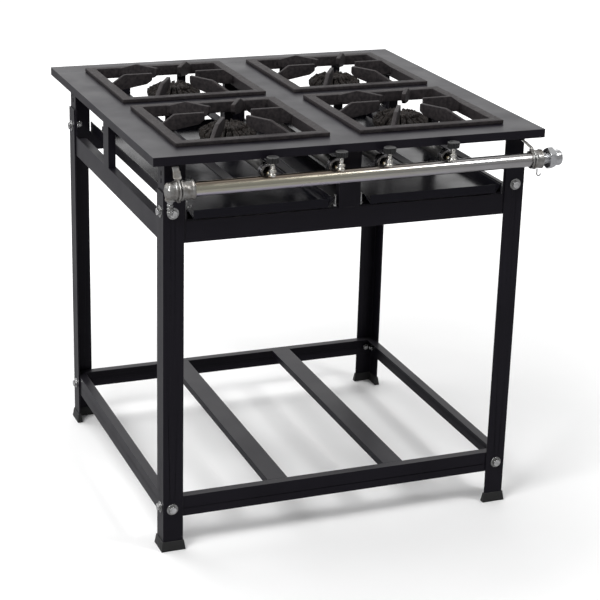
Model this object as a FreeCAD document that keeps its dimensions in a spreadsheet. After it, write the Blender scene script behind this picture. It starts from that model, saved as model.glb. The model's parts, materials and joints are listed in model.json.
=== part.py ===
import FreeCAD
import Part
import math
import os
import Sketcher
from collections import namedtuple

# Four-burner low-pressure gas stove on a bolted angle-iron stand.
# The stove is drawn about the middle of its table: +X to the right along the gas manifold side,
# +Y to the back, +Z up from the floor.  One shift at the end of the driving values then puts the
# origin under the middle of the whole object's box.  Lengths are millimetres.

doc = FreeCAD.newDocument("gas_stove")

# --------------------------------------------------------------------------- driving dimensions

DIMENSIONS = {
    # table
    "table_width": 781,
    "table_depth": 762,
    "table_height": 792.5,
    "table_edge": 16.5,
    "table_gauge": 2,
    "rear_strip_depth": 54,
    "grate_side_margin": 29.5,
    "grate_front_margin": 58,
    "grate_rear_margin": 4,
    "grate_gap_deep": 46,
    "opening_overlap": 9.5,
    # upper frame, hung under the table
    "angle_flange": 40,
    "angle_gauge": 3,
    "side_inset": 25.5,
    "front_inset": 24,
    "rear_inset": 53,
    "rail_gauge": 2,
    "frame_rail_drop": 130.5,
    "frame_rail_height": 41.5,
    "rail_flange": 18,
    "rail_notch": 18,
    "post_width": 43,
    "post_depth": 15,
    "strut_width": 38,
    "strut_place": 44,
    "slot_inset": 19.5,
    "slot_width": 5,
    "slot_height": 9,
    "slot_upper_drop": 42.5,
    "slot_lower_drop": 56.5,
    # legs, shoes and shelf
    "leg_drop": 74,
    "shoe_height": 19,
    "shoe_sole": 3,
    "shoe_wall": 1.6,
    "shoe_flare": 2.8,
    "shelf_top": 110,
    "shelf_rail_height": 42,
    "slat_width": 42,
    "slat_depth": 15,
    "slat_offset": 124,
    # bolts that join the legs to the frame and the shelf
    "bolt_inset": 18.5,
    "bolt_drop": 112.5,
    "bolt_lower": 87,
    "bolt_thread": 8,
    "bolt_hole": 8.8,
    "bolt_length": 16,
    "bolt_head_across": 13,
    "bolt_head_height": 5.3,
    "washer_across": 23,
    "washer_gauge": 1.8,
    "nut_height": 5.5,
    # drip trays and their guides
    "tray_inner": 32,
    "tray_side_gap": 8,
    "tray_flare": 11,
    "tray_rear_gap": 43,
    "tray_height": 17,
    "tray_gauge": 1.5,
    "guide_height": 21,
    "guide_foot": 22,
    "guide_gauge": 2,
    "guide_gap": 1,
    "center_guide_width": 112,
    "post_screw": 5,
    "post_screw_length": 26,
    "post_screw_place": 26,
    "post_nut_across": 8,
    "post_nut_height": 4,
    # grates
    "grate_bar": 20,
    "grate_bar_height": 7.5,
    "grate_rim": 8,
    "grate_rim_depth": 14,
    "finger_gauge": 8,
    "finger_rise": 15.5,
    "finger_tip": 47,
    "finger_tip_nose": 1,
    "finger_tip_slope": 11,
    "finger_tip_drop": 6.7,
    "finger_peak": 107,
    "finger_heel": 6.2,
    "finger_drop": 16,
    # burners
    "burner_drop": 54,
    "bowl_radius": 53,
    "bowl_wall": 11,
    "bowl_floor": 6,
    "bowl_height": 28,
    "ear_reach": 71,
    "ear_width": 22,
    "ear_height": 6,
    "strap_width": 19,
    "strap_gauge": 4,
    "strap_place": 62,
    "strap_front_gap": 26,
    "strap_rear_inset": 61,
    "crown_radius": 55,
    "crown_edge": 9,
    "crown_height": 22,
    "crown_top_radius": 34,
    "crown_dish_rim": 16.5,
    "crown_dish_radius": 11,
    "crown_dish_depth": 4.4,
    "crown_spigot": 8,
    "crown_slots": 22,
    "crown_slot_width": 3.6,
    "crown_slot_start": 23,
    "crown_slot_floor": 3.2,
    "crown_slot_overrun": 5,
    "crown_ring_place": 35,
    "crown_ring_depth": 4,
    "mixer_diameter": 21,
    "mixer_bore": 15,
    "mixer_drop": 42.5,
    "mixer_bend": 60,
    "mouth_diameter": 26,
    "mouth_length": 20,
    "mouth_bore": 21,
    "mouth_flare_length": 17,
    "mouth_gap": 21,
    "shutter_wall": 1.6,
    "shutter_length": 15,
    "shutter_slot": 6,
    "outer_tube": 180,
    "outer_tube_shift": 8,
    "inner_tube": 48,
    "inner_tube_shift": 10,
    # gas manifold
    "pipe_diameter": 27,
    "pipe_wall": 2.5,
    "pipe_reach": 17,
    "pipe_drop": 53,
    "pipe_fall": 4.5,
    "pipe_left_inset": 57,
    "pipe_right_inset": 21.5,
    "coupling_diameter": 38,
    "coupling_length": 26,
    "coupling_round": 4,
    "nipple_diameter": 21,
    "cap_across": 37,
    "cap_length": 29,
    "cap_hexagon_length": 15,
    "cap_end_diameter": 34,
    "cap_gap": 5.5,
    "elbow_diameter": 33,
    "elbow_length": 23,
    "elbow_shoulder": 8,
    "elbow_nose": 2.4,
    "elbow_nose_drop": 3.2,
    "elbow_end_radius": 7.4,
    "elbow_boss_wall": 3,
    "elbow_boss_rise": 2,
    "barb_offset": 1.8,
    "barb_socket": 8.2,
    "barb_socket_gap": 1,
    "barb_bore": 1.5,
    "barb_radius": 6.2,
    "barb_root": 5,
    "barb_notch": 0.8,
    "barb_length": 26,
    "barb_ridges": 4,
    "eye_left": 44,
    "eye_right": 35,
    "eye_gauge": 4,
    "hanger_gauge": 4,
    "hanger_top_width": 10,
    "hanger_left_width": 20,
    "hanger_right_width": 10,
    "hanger_inset": 7,
    "hanger_left_inset": 42,
    "hanger_right_inset": 47.5,
    "clip_wire": 2.4,
    "clip_drop": 10,
    "clip_bend": 4,
    # valves
    "valve_base": 15,
    "valve_nut_across": 12,
    "valve_nut_height": 6,
    "valve_nut_rise": 18,
    "gland_diameter": 8,
    "gland_cover": 3.7,
    "arm_diameter": 11,
    "arm_reach": 11.5,
    "jet_diameter": 8,
    "jet_tip_diameter": 4.5,
    "jet_shoulder": 13.2,
    "jet_length": 22,
    "knob_diameter": 25,
    "knob_height": 11,
    "knob_rise": 36.5,
    "knob_chamfer": 2,
    "knob_ribs": 16,
    "knob_groove": 1.3,
    "spindle_diameter": 4,
    "spindle_length": 13,
    "running_gap": 0.1,
    "gap": 0.3,
}

sheet = doc.addObject("Spreadsheet::Sheet", "Dims")
for row, (alias, number) in enumerate(DIMENSIONS.items(), start=1):
    sheet.set(f"A{row}", str(number))
    sheet.setAlias(f"A{row}", alias)
doc.recompute()


class Size:
    """A sheet value, or arithmetic on sheet values: its number now and the expression that binds it."""

    def __init__(self, value, text):
        self.value = value
        self.text = text

    def __add__(self, other):
        other = as_size(other)
        return Size(self.value + other.value, f"({self.text} + {other.text})")

    def __sub__(self, other):
        other = as_size(other)
        return Size(self.value - other.value, f"({self.text} - {other.text})")

    def __mul__(self, other):
        other = as_size(other)
        return Size(self.value * other.value, f"({self.text} * {other.text})")

    def __truediv__(self, other):
        other = as_size(other)
        return Size(self.value / other.value, f"({self.text} / {other.text})")

    def __neg__(self):
        return Size(-self.value, f"(0 - {self.text})")

    def __radd__(self, other):
        return as_size(other) + self

    def __rsub__(self, other):
        return as_size(other) - self

    def __rmul__(self, other):
        return as_size(other) * self


def as_size(item):
    """A plain number as a Size; a Size as it is."""
    if isinstance(item, Size):
        return item
    return Size(float(item), f"({float(item)!r})")


class Sheet:
    """The sheet's values by name: D.table_width is that cell's Size."""

    def __getattr__(self, alias):
        return Size(float(DIMENSIONS[alias]), f"Dims.{alias}")


D = Sheet()

# --------------------------------------------------------------------------- derived places

table_under = D.table_height - D.table_gauge
frame_rail_top = D.table_height - D.frame_rail_drop
frame_rail_bottom = frame_rail_top - D.frame_rail_height
leg_top = D.table_height - D.leg_drop
bolt_upper = D.table_height - D.bolt_drop
slot_upper = D.table_height - D.slot_upper_drop
slot_lower = D.table_height - D.slot_lower_drop
leg_x = D.table_width / 2 - D.side_inset
leg_front = D.front_inset - D.table_depth / 2
leg_rear = D.table_depth / 2 - D.rear_inset
post_x = leg_x - D.angle_gauge
post_front = leg_front + D.angle_gauge
post_rear = leg_rear - D.angle_gauge
screw_inset = D.post_depth / 2

# Two rows of grates fill the table's depth, apart from the rear strip and the margins.
seam_place = D.table_depth / 2 - D.rear_strip_depth
grate_margins = D.grate_front_margin + D.grate_rear_margin + D.grate_gap_deep
grate_width = (D.table_depth - D.rear_strip_depth - grate_margins) / 2
table_opening = grate_width - D.opening_overlap * 2
grate_pitch_across = D.table_width / 2 - D.grate_side_margin
grate_pitch_deep = grate_width + D.grate_gap_deep

tray_outer = leg_x - D.angle_flange - D.tray_side_gap
tray_depth = post_rear - post_front - D.tray_rear_gap
tray_front = post_front + D.gap
tray_floor = frame_rail_top + D.guide_gauge + D.gap

pipe_place = as_size(0) - D.table_depth / 2 - D.pipe_reach
pipe_height = D.table_height - D.pipe_drop
pipe_left = D.pipe_left_inset - D.table_width / 2
pipe_right = D.table_width / 2 - D.pipe_right_inset
pipe_slope = D.pipe_fall / (pipe_right - pipe_left)
hanger_place = D.hanger_inset - D.table_depth / 2
hanger_left_top = D.hanger_left_inset - D.table_width / 2
hanger_right_top = D.table_width / 2 - D.hanger_right_inset
cap_left = pipe_right + D.coupling_length / 2 + D.cap_gap
cap_right = cap_left + D.cap_length
eye_left_place = pipe_left - D.coupling_length / 2 - D.eye_gauge - D.gap
eye_right_place = pipe_right - D.coupling_length / 2 - D.eye_gauge - D.gap

burner_seat = D.table_height - D.burner_drop
mixer_height = D.table_height - D.mixer_drop
mouth_place = pipe_place + D.mouth_gap
strap_front = pipe_place + D.strap_front_gap
strap_rear = D.table_depth / 2 - D.strap_rear_inset

# The origin lies under the middle of the box: from the table's left edge to the cap's end, and
# from the front of the left hanger's eye to the table's rear edge.
shift_x = (D.table_width / 2 - cap_right) / 2
shift_y = (D.eye_left / 2 - pipe_place - D.table_depth / 2) / 2

UP = FreeCAD.Vector(0, 0, 1)
ALONG_X = FreeCAD.Vector(1, 0, 0)
ALONG_Y = FreeCAD.Vector(0, 1, 0)
NO_TURN = FreeCAD.Rotation()
PIPE_TURN = FreeCAD.Rotation(ALONG_Y, -math.degrees(math.atan(pipe_slope.value)))
TINY = 1e-6
GRATE_STEP = 60
FLATS_UPRIGHT = 30

Corner = namedtuple("Corner", "name x y turn")
CORNERS = [
    Corner("front_left", -1, -1, 0),
    Corner("front_right", 1, -1, 90),
    Corner("rear_right", 1, 1, 180),
    Corner("rear_left", -1, 1, 270),
]

Burner = namedtuple("Burner", "name x y tube")
BURNERS = [
    Burner("front_left", -1, -1, D.outer_tube_shift - D.outer_tube),
    Burner("rear_left", -1, 1, D.inner_tube_shift - D.inner_tube),
    Burner("rear_right", 1, 1, D.inner_tube_shift + D.inner_tube),
    Burner("front_right", 1, -1, D.outer_tube_shift + D.outer_tube),
]

parts = []

# --------------------------------------------------------------------------- drawing helpers

Circle = namedtuple("Circle", "x y radius")


def vector(x, y, z=0):
    """A FreeCAD vector of the numbers of three Sizes."""
    return FreeCAD.Vector(as_size(x).value, as_size(y).value, as_size(z).value)


def new_body(label):
    """A PartDesign body that is one sub-part, or the master of a group."""
    body = doc.addObject("PartDesign::Body", label)
    body.Label = label
    return body


def origin_feature(body, role):
    """The body's own origin plane or axis of that role."""
    return [item for item in body.Origin.OriginFeatures if item.Role == role][0]


def sketch(body, role, loops, lift=None, turn=None):
    """Closed loops on an origin plane of the body, every corner and centre bound to the sheet.

    A loop is a list of (x, y) corners or a Circle.  lift moves the sketch along the plane's
    normal, and turn, in degrees, swings it about the sketch's own upright axis.
    """
    drawing = body.newObject("Sketcher::SketchObject", "Sketch")
    drawing.AttachmentSupport = [(origin_feature(body, role), "")]
    drawing.MapMode = "FlatFace"
    if turn is not None:
        drawing.AttachmentOffset = FreeCAD.Placement(FreeCAD.Vector(), FreeCAD.Rotation(ALONG_Y, turn))
    if lift is not None:
        drawing.setExpression("AttachmentOffset.Base.z", as_size(lift).text)
    for loop in loops:
        if isinstance(loop, Circle):
            draw_circle(drawing, loop)
        else:
            draw_polygon(drawing, loop)
    return drawing


def bind(drawing, constraint, size):
    """Adds a constraint whose value follows a Size."""
    index = drawing.addConstraint(constraint)
    drawing.setExpression(f"Constraints[{index}]", as_size(size).text)


def bind_point(drawing, geometry, position, x, y):
    """Holds a point of the sketch at a distance from its origin."""
    x_distance = Sketcher.Constraint("DistanceX", -1, 1, geometry, position, as_size(x).value)
    y_distance = Sketcher.Constraint("DistanceY", -1, 1, geometry, position, as_size(y).value)
    bind(drawing, x_distance, x)
    bind(drawing, y_distance, y)


def draw_polygon(drawing, corners):
    """Straight edges through the corners, closed."""
    points = [vector(x, y) for x, y in corners]
    first = drawing.GeometryCount
    count = len(corners)
    edges = [Part.LineSegment(points[i], points[(i + 1) % count]) for i in range(count)]
    drawing.addGeometry(edges, False)
    for i, (x, y) in enumerate(corners):
        following = first + (i + 1) % count
        drawing.addConstraint(Sketcher.Constraint("Coincident", first + i, 2, following, 1))
        bind_point(drawing, first + i, 1, x, y)


def draw_circle(drawing, circle):
    """A full circle held by its centre and radius."""
    centre = vector(circle.x, circle.y)
    radius = as_size(circle.radius)
    index = drawing.addGeometry(Part.Circle(centre, FreeCAD.Vector(0, 0, 1), radius.value), False)
    bind_point(drawing, index, 3, circle.x, circle.y)
    bind(drawing, Sketcher.Constraint("Radius", index, radius.value), radius)


def extrude(body, kind, drawing, length, both_ways=False, back=False):
    """A Pad or a Pocket of a sketch; back turns it round."""
    feature = body.newObject("PartDesign::" + kind, kind)
    feature.Profile = drawing
    feature.setExpression("Length", as_size(length).text)
    feature.SideType = "Symmetric" if both_ways else "One side"
    feature.Reversed = back
    return feature


def pad(body, drawing, length, both_ways=False, back=False):
    """Adds the sketch's prism to the body."""
    return extrude(body, "Pad", drawing, length, both_ways, back)


def pocket(body, drawing, length, both_ways=False, back=False):
    """Cuts the sketch's prism out of the body."""
    return extrude(body, "Pocket", drawing, length, both_ways, back)


def revolve(body, role, corners, axis):
    """A full turn of a closed outline about an origin axis."""
    feature = body.newObject("PartDesign::Revolution", "Revolution")
    feature.Profile = sketch(body, role, [corners])
    feature.ReferenceAxis = (origin_feature(body, axis), [""])
    feature.Angle = 360
    return feature


def around(body, features, count, axis="Z_Axis"):
    """Repeats features round an axis of the body, count times in a full turn."""
    pattern = body.newObject("PartDesign::PolarPattern", "PolarPattern")
    pattern.Originals = features
    pattern.Axis = (origin_feature(body, axis), [""])
    pattern.Angle = 360
    if isinstance(count, Size):
        pattern.setExpression("Occurrences", count.text)
    else:
        pattern.Occurrences = count
    body.Tip = pattern
    return pattern


def chamfer_edges(body, feature, size, wanted):
    """Chamfers the feature's edges that wanted(edge) picks."""
    doc.recompute()
    names = [f"Edge{i}" for i, edge in enumerate(feature.Shape.Edges, start=1) if wanted(edge)]
    cut = body.newObject("PartDesign::Chamfer", "Chamfer")
    cut.Base = (feature, names)
    cut.setExpression("Size", as_size(size).text)
    return cut


def place(item, x, y, z, rotation=NO_TURN):
    """Stands a finished sub-part in the stove, its position bound to the sheet."""
    target = (shift_x + x, shift_y + y, as_size(z))
    item.Placement = FreeCAD.Placement(vector(*target), rotation)
    for letter, size in zip("xyz", target):
        item.setExpression("Placement.Base." + letter, size.text)
    parts.append(item)


def turned(degrees, axis=UP):
    """A rotation by so many degrees."""
    return FreeCAD.Rotation(axis, degrees)


def group(label, copies):
    """Separate solids kept as one named group, from pairs of a master body and a placement."""
    doc.recompute()
    solids = []
    for master, placement in copies:
        solid = master.Shape.copy()
        solid.Placement = placement.multiply(solid.Placement)
        solids.append(solid)
    compound(label, solids)


def compound(label, solids):
    """A named sub-part of several solids drawn about the middle of the table."""
    item = doc.addObject("Part::Feature", label)
    item.Label = label
    item.Shape = Part.makeCompound(solids)
    item.Placement = FreeCAD.Placement(vector(shift_x, shift_y), NO_TURN)
    item.setExpression("Placement.Base.x", shift_x.text)
    item.setExpression("Placement.Base.y", shift_y.text)
    parts.append(item)


def copies_of(master, placements):
    """The same master at each placement."""
    return [(master, placement) for placement in placements]


def at(x, y, z, rotation=NO_TURN):
    """A placement from Sizes."""
    return FreeCAD.Placement(vector(x, y, z), rotation)


def rectangle(x_low, y_low, x_high, y_high):
    """The four corners of an upright rectangle."""
    return [(x_low, y_low), (x_high, y_low), (x_high, y_high), (x_low, y_high)]


def angle_outline(flange, gauge, margin):
    """An angle section with its outer corner at the origin, grown by a margin all round."""
    low = as_size(0) - margin
    long = flange + margin
    short = gauge + margin
    return [(low, low), (long, low), (long, short), (short, short), (short, long), (low, long)]


def channel_outline(width, depth, gauge):
    """A channel section, its web along x and its two sides towards +y."""
    half = width / 2
    return [
        (-half, 0), (half, 0), (half, depth), (half - gauge, depth),
        (half - gauge, gauge), (gauge - half, gauge), (gauge - half, depth), (-half, depth),
    ]


# --------------------------------------------------------------------------- table

def table_top():
    """The folded front sheet: four square openings, edges turned down on three sides."""
    body = new_body("table_top")
    half_x = D.table_width / 2
    front = as_size(0) - D.table_depth / 2
    gauge = D.table_gauge
    windows = []
    for across in (-1, 1):
        for deep in (-1, 1):
            middle_x = grate_pitch_across * across / 2
            middle_y = grate_pitch_deep * deep / 2
            half = table_opening / 2
            windows.append(rectangle(middle_x - half, middle_y - half, middle_x + half, middle_y + half))
    sheet_outline = rectangle(-half_x, front, half_x, seam_place)
    pad(body, sketch(body, "XY_Plane", [sheet_outline] + windows), gauge, back=True)
    fold = [
        (-half_x, seam_place), (-half_x, front), (half_x, front), (half_x, seam_place),
        (half_x - gauge, seam_place), (half_x - gauge, front + gauge),
        (gauge - half_x, front + gauge), (gauge - half_x, seam_place),
    ]
    pad(body, sketch(body, "XY_Plane", [fold], lift=-gauge), D.table_edge - gauge, back=True)
    place(body, 0, 0, D.table_height)


def table_rear_strip():
    """The rear strip of the table, full width, its edges turned down on three sides."""
    body = new_body("table_rear_strip")
    half_x = D.table_width / 2
    rear = D.table_depth / 2
    gauge = D.table_gauge
    pad(body, sketch(body, "XY_Plane", [rectangle(-half_x, seam_place, half_x, rear)]), gauge, back=True)
    fold = [
        (-half_x, seam_place), (gauge - half_x, seam_place), (gauge - half_x, rear - gauge),
        (half_x - gauge, rear - gauge), (half_x - gauge, seam_place), (half_x, seam_place),
        (half_x, rear), (-half_x, rear),
    ]
    pad(body, sketch(body, "XY_Plane", [fold], lift=-gauge), D.table_edge - gauge, back=True)
    place(body, 0, 0, D.table_height)


# --------------------------------------------------------------------------- frame and legs

def flange_holes(body, inset, heights):
    """Bolt holes through both flanges of an upright angle, at heights above its foot."""
    reach = D.angle_gauge * 4
    holes = [Circle(inset, height, D.bolt_hole / 2) for height in heights]
    pocket(body, sketch(body, "XZ_Plane", holes), reach, both_ways=True)
    pocket(body, sketch(body, "YZ_Plane", holes), reach, both_ways=True)


def corner_place(corner, x, front, rear):
    """The outer corner of an angle that stands in a corner of the stand."""
    return x * corner.x, (front if corner.y < 0 else rear)


def legs():
    """Four legs of angle iron, bolted outside the frame's corner posts."""
    for corner in CORNERS:
        body = new_body("leg_" + corner.name)
        outline = angle_outline(D.angle_flange, D.angle_gauge, 0)
        pad(body, sketch(body, "XY_Plane", [outline]), leg_top - D.shoe_sole)
        flange_holes(body, D.bolt_inset, [bolt_upper - D.shoe_sole, D.bolt_lower - D.shoe_sole])
        x, y = corner_place(corner, leg_x, leg_front, leg_rear)
        place(body, x, y, D.shoe_sole, turned(corner.turn))


def corner_posts():
    """Four short angle posts that hang from the table inside the legs, slotted on their sides.

    The slots are in the flange that runs along the stove's side.  That is the flange along the
    angle's own y in two opposite corners, and the one along its own x in the other two.
    """
    height = table_under - frame_rail_bottom
    post_bolt = D.bolt_inset - D.angle_gauge
    half_width = D.slot_width / 2
    half_height = D.slot_height / 2
    slots = []
    for level in (slot_upper - frame_rail_bottom, slot_lower - frame_rail_bottom):
        slots.append(rectangle(
            D.slot_inset - half_width, level - half_height,
            D.slot_inset + half_width, level + half_height,
        ))
    masters = {}
    for plane in ("YZ_Plane", "XZ_Plane"):
        body = new_body("corner_post_" + plane[:2].lower())
        outline = angle_outline(D.angle_flange, D.angle_gauge, 0)
        pad(body, sketch(body, "XY_Plane", [outline]), height)
        flange_holes(body, post_bolt, [bolt_upper - frame_rail_bottom])
        pocket(body, sketch(body, plane, slots), D.angle_gauge * 4, both_ways=True)
        masters[plane] = body
    copies = []
    for corner in CORNERS:
        x, y = corner_place(corner, post_x, post_front, post_rear)
        master = masters["YZ_Plane" if corner.x == corner.y else "XZ_Plane"]
        copies.append((master, at(x, y, frame_rail_bottom, turned(corner.turn))))
    group("corner_posts", copies)


def leg_shoes():
    """Moulded shoes that slip on the legs' feet, wider at the floor."""
    master = new_body("leg_shoe_master")
    foot = angle_outline(D.angle_flange, D.angle_gauge, D.shoe_wall + D.shoe_flare)
    mouth = angle_outline(D.angle_flange, D.angle_gauge, D.shoe_wall)
    socket = angle_outline(D.angle_flange, D.angle_gauge, D.running_gap)
    loft = master.newObject("PartDesign::AdditiveLoft", "Loft")
    loft.Profile = sketch(master, "XY_Plane", [foot])
    loft.Sections = [sketch(master, "XY_Plane", [mouth], lift=D.shoe_height)]
    loft.Ruled = True
    pocket(master, sketch(master, "XY_Plane", [socket], lift=D.shoe_height), D.shoe_height - D.shoe_sole)
    placements = []
    for corner in CORNERS:
        x, y = corner_place(corner, leg_x, leg_front, leg_rear)
        placements.append(at(x, y, 0, turned(corner.turn)))
    group("leg_shoes", copies_of(master, placements))


def rail(label, length, height, start_notch, end_notch, web_holes=(), top_holes=()):
    """A rail folded to an angle: upright web towards its own -y, flange along the top.

    The rail runs along its own +x.  Its flange stops short of the web's ends by the notches.  The
    holes are Circles, those in the web measured from the flange's top face.
    """
    body = new_body(label)
    gauge = D.rail_gauge
    web = rectangle(0, as_size(0) - height, length, 0)
    pad(body, sketch(body, "XZ_Plane", [web]), gauge, back=True)
    flange = rectangle(start_notch, 0, length - end_notch, D.rail_flange)
    pad(body, sketch(body, "XY_Plane", [flange, *top_holes]), gauge, back=True)
    if web_holes:
        pocket(body, sketch(body, "XZ_Plane", web_holes), gauge * 4, both_ways=True)
    return body


def frame_rails():
    """The four rails round the bottom of the upper frame, between the corner posts."""
    height = D.frame_rail_height
    top = frame_rail_top
    across = (post_x - D.angle_flange) * 2
    deep = post_rear - post_front - D.angle_flange * 2
    half = across / 2
    hole_radius = D.post_screw / 2 + D.gap
    holes = [Circle(half + D.post_screw_place * side, screw_inset, hole_radius) for side in (-1, 1)]
    front = rail("frame_rail_front", across, height, 0, 0, top_holes=holes)
    rear = rail("frame_rail_rear", across, height, 0, 0, top_holes=holes)
    place(front, -half, post_front, top)
    place(rear, half, post_rear, top, turned(180))
    side_front = post_front + D.angle_flange
    side_rear = post_rear - D.angle_flange
    place(rail("frame_rail_left", deep, height, D.rail_notch, 0), -post_x, side_rear, top, turned(-90))
    place(rail("frame_rail_right", deep, height, 0, D.rail_notch), post_x, side_front, top, turned(90))


def shelf():
    """The bottom shelf: four rails bolted inside the legs, and two slats from front to rear."""
    height = D.shelf_rail_height
    top = D.shelf_top
    drop = D.shelf_top - D.bolt_lower
    half = post_x - D.running_gap
    across = half * 2
    first = D.bolt_inset - D.angle_gauge - D.running_gap
    corner_cut = D.rail_gauge + D.gap
    for name, x, y, turn in (("front", -half, post_front, 0), ("rear", half, post_rear, 180)):
        holes = [Circle(spot, -drop, D.bolt_hole / 2) for spot in (first, across - first)]
        body = rail("shelf_rail_" + name, across, height, corner_cut, corner_cut, web_holes=holes)
        place(body, x, y, top, turned(turn))
    side_front = post_front + D.rail_gauge + D.gap
    side_rear = post_rear - D.rail_gauge - D.gap
    deep = side_rear - side_front
    first = D.bolt_inset - D.angle_gauge - D.rail_gauge - D.gap
    notch = D.rail_flange - D.rail_gauge
    for name, x, y, turn in (("left", -post_x, side_rear, -90), ("right", post_x, side_front, 90)):
        holes = [Circle(spot, -drop, D.bolt_hole / 2) for spot in (first, deep - first)]
        body = rail("shelf_rail_" + name, deep, height, notch, notch, web_holes=holes)
        place(body, x, y, top, turned(turn))
    slat = new_body("slat_master")
    slat_front = post_front + D.rail_flange
    slat_rear = post_rear - D.rail_flange
    outline = channel_outline(D.slat_width, D.slat_depth, D.rail_gauge)
    pad(slat, sketch(slat, "XY_Plane", [outline]), slat_rear - slat_front)
    lying = turned(-90, ALONG_X)
    spots = [at(D.slat_offset * side, slat_front, top, lying) for side in (-1, 1)]
    group("shelf_slats", copies_of(slat, spots))


def uprights():
    """Channels that stand on the frame's rails under the table: two posts and two side struts."""
    height = table_under - frame_rail_top
    post = channel_outline(D.post_width, D.post_depth, D.rail_gauge)
    strut = channel_outline(D.strut_width, D.post_depth, D.rail_gauge)
    spots = (
        ("center_post_front", post, as_size(0), post_front, 0),
        ("center_post_rear", post, as_size(0), post_rear, 180),
        ("side_strut_left", strut, -post_x, D.strut_place, -90),
        ("side_strut_right", strut, post_x, D.strut_place, 90),
    )
    for label, outline, x, y, turn in spots:
        body = new_body(label)
        pad(body, sketch(body, "XY_Plane", [outline]), height)
        place(body, x, y, frame_rail_top, turned(turn))


# --------------------------------------------------------------------------- fasteners

def hexagon(across, turn=0):
    """The corners of a hexagon of that width across its flats."""
    radius = across / math.sqrt(3)
    angles = [2 * math.pi * i / 6 + math.radians(turn) for i in range(6)]
    return [(radius * math.cos(angle), radius * math.sin(angle)) for angle in angles]


def bolt_seats(depth_upper, depth_lower):
    """Placements of the sixteen bolts, their own +z outwards, sunk below the leg's outer face."""
    outward_front = FreeCAD.Rotation(UP, FreeCAD.Vector(0, -1, 0))
    outward_side = FreeCAD.Rotation(UP, FreeCAD.Vector(-1, 0, 0))
    placements = []
    for corner in CORNERS:
        x, y = corner_place(corner, leg_x, leg_front, leg_rear)
        stand = at(x, y, 0, turned(corner.turn))
        for height, depth in ((bolt_upper, depth_upper), (D.bolt_lower, depth_lower)):
            placements.append(stand.multiply(at(D.bolt_inset, depth, height, outward_front)))
            placements.append(stand.multiply(at(depth, D.bolt_inset, height, outward_side)))
    return placements


def bolt_body(label, thread, length, head_across, head_height):
    """A hexagon bolt standing on its head's seat: head above z = 0, shank below."""
    body = new_body(label)
    pad(body, sketch(body, "XY_Plane", [hexagon(head_across, FLATS_UPRIGHT)]), head_height)
    pad(body, sketch(body, "XY_Plane", [Circle(0, 0, thread / 2)]), length, back=True)
    return body


def frame_fasteners():
    """Hexagon bolts with large washers outside the legs, and nuts inside."""
    bolt = bolt_body("bolt_master", D.bolt_thread, D.bolt_length, D.bolt_head_across, D.bolt_head_height)
    head_seat = as_size(0) - D.washer_gauge
    group("frame_bolts", copies_of(bolt, bolt_seats(head_seat, head_seat)))

    washer = new_body("washer_master")
    hole = Circle(0, 0, D.bolt_thread / 2 + D.running_gap)
    rim = Circle(0, 0, D.washer_across / 2)
    pad(washer, sketch(washer, "XY_Plane", [rim, hole]), D.washer_gauge)
    flush = as_size(0)
    group("frame_washers", copies_of(washer, bolt_seats(flush, flush)))

    nut = new_body("nut_master")
    flats = hexagon(D.bolt_head_across, FLATS_UPRIGHT)
    pad(nut, sketch(nut, "XY_Plane", [flats, hole]), D.nut_height, back=True)
    upper = D.angle_gauge * 2
    lower = D.angle_gauge + D.rail_gauge
    group("frame_nuts", copies_of(nut, bolt_seats(upper, lower)))


def post_screws():
    """Long screws up through the rails' flanges beside the centre posts, with a nut on each.

    They hold the ends of the middle tray guide.  Bolt and nut are drawn as the one tightened piece.
    """
    screw = new_body("post_screw_master")
    seat = D.rail_gauge + D.guide_gauge
    thread = [Circle(0, 0, D.post_screw / 2)]
    pad(screw, sketch(screw, "XY_Plane", thread, lift=-seat), D.post_screw_length)
    nut = [hexagon(D.post_nut_across, FLATS_UPRIGHT)]
    pad(screw, sketch(screw, "XY_Plane", nut), D.post_nut_height)
    pad(screw, sketch(screw, "XY_Plane", nut, lift=-seat), D.post_nut_height, back=True)
    spots = []
    for y in (post_front + screw_inset, post_rear - screw_inset):
        for side in (-1, 1):
            spots.append(at(D.post_screw_place * side, y, frame_rail_top + D.guide_gauge))
    group("post_screws", copies_of(screw, spots))


# --------------------------------------------------------------------------- drip trays

def drip_trays():
    """Two shallow folded trays that slide in from the front under the burners.

    Their sides lean outwards; the front and rear lips stand upright between them.
    """
    wall = D.tray_gauge
    height = D.tray_height
    inner = D.tray_inner
    outer = tray_outer
    flare = D.tray_flare
    width = outer - inner
    channel = [
        (flare, 0), (width - flare, 0), (width, height), (width - wall, height),
        (width - flare - wall / 2, wall), (flare + wall / 2, wall), (wall, height), (0, height),
    ]
    for name, left in (("left", as_size(0) - outer), ("right", inner)):
        body = new_body("drip_tray_" + name)
        pad(body, sketch(body, "XZ_Plane", [channel]), tray_depth, back=True)
        lip = [rectangle(flare, 0, width - flare, height)]
        pad(body, sketch(body, "XZ_Plane", lip), wall, back=True)
        rear_lip = sketch(body, "XZ_Plane", lip, lift=as_size(0) - tray_depth)
        pad(body, rear_lip, wall)
        place(body, left, tray_front, tray_floor)


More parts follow.
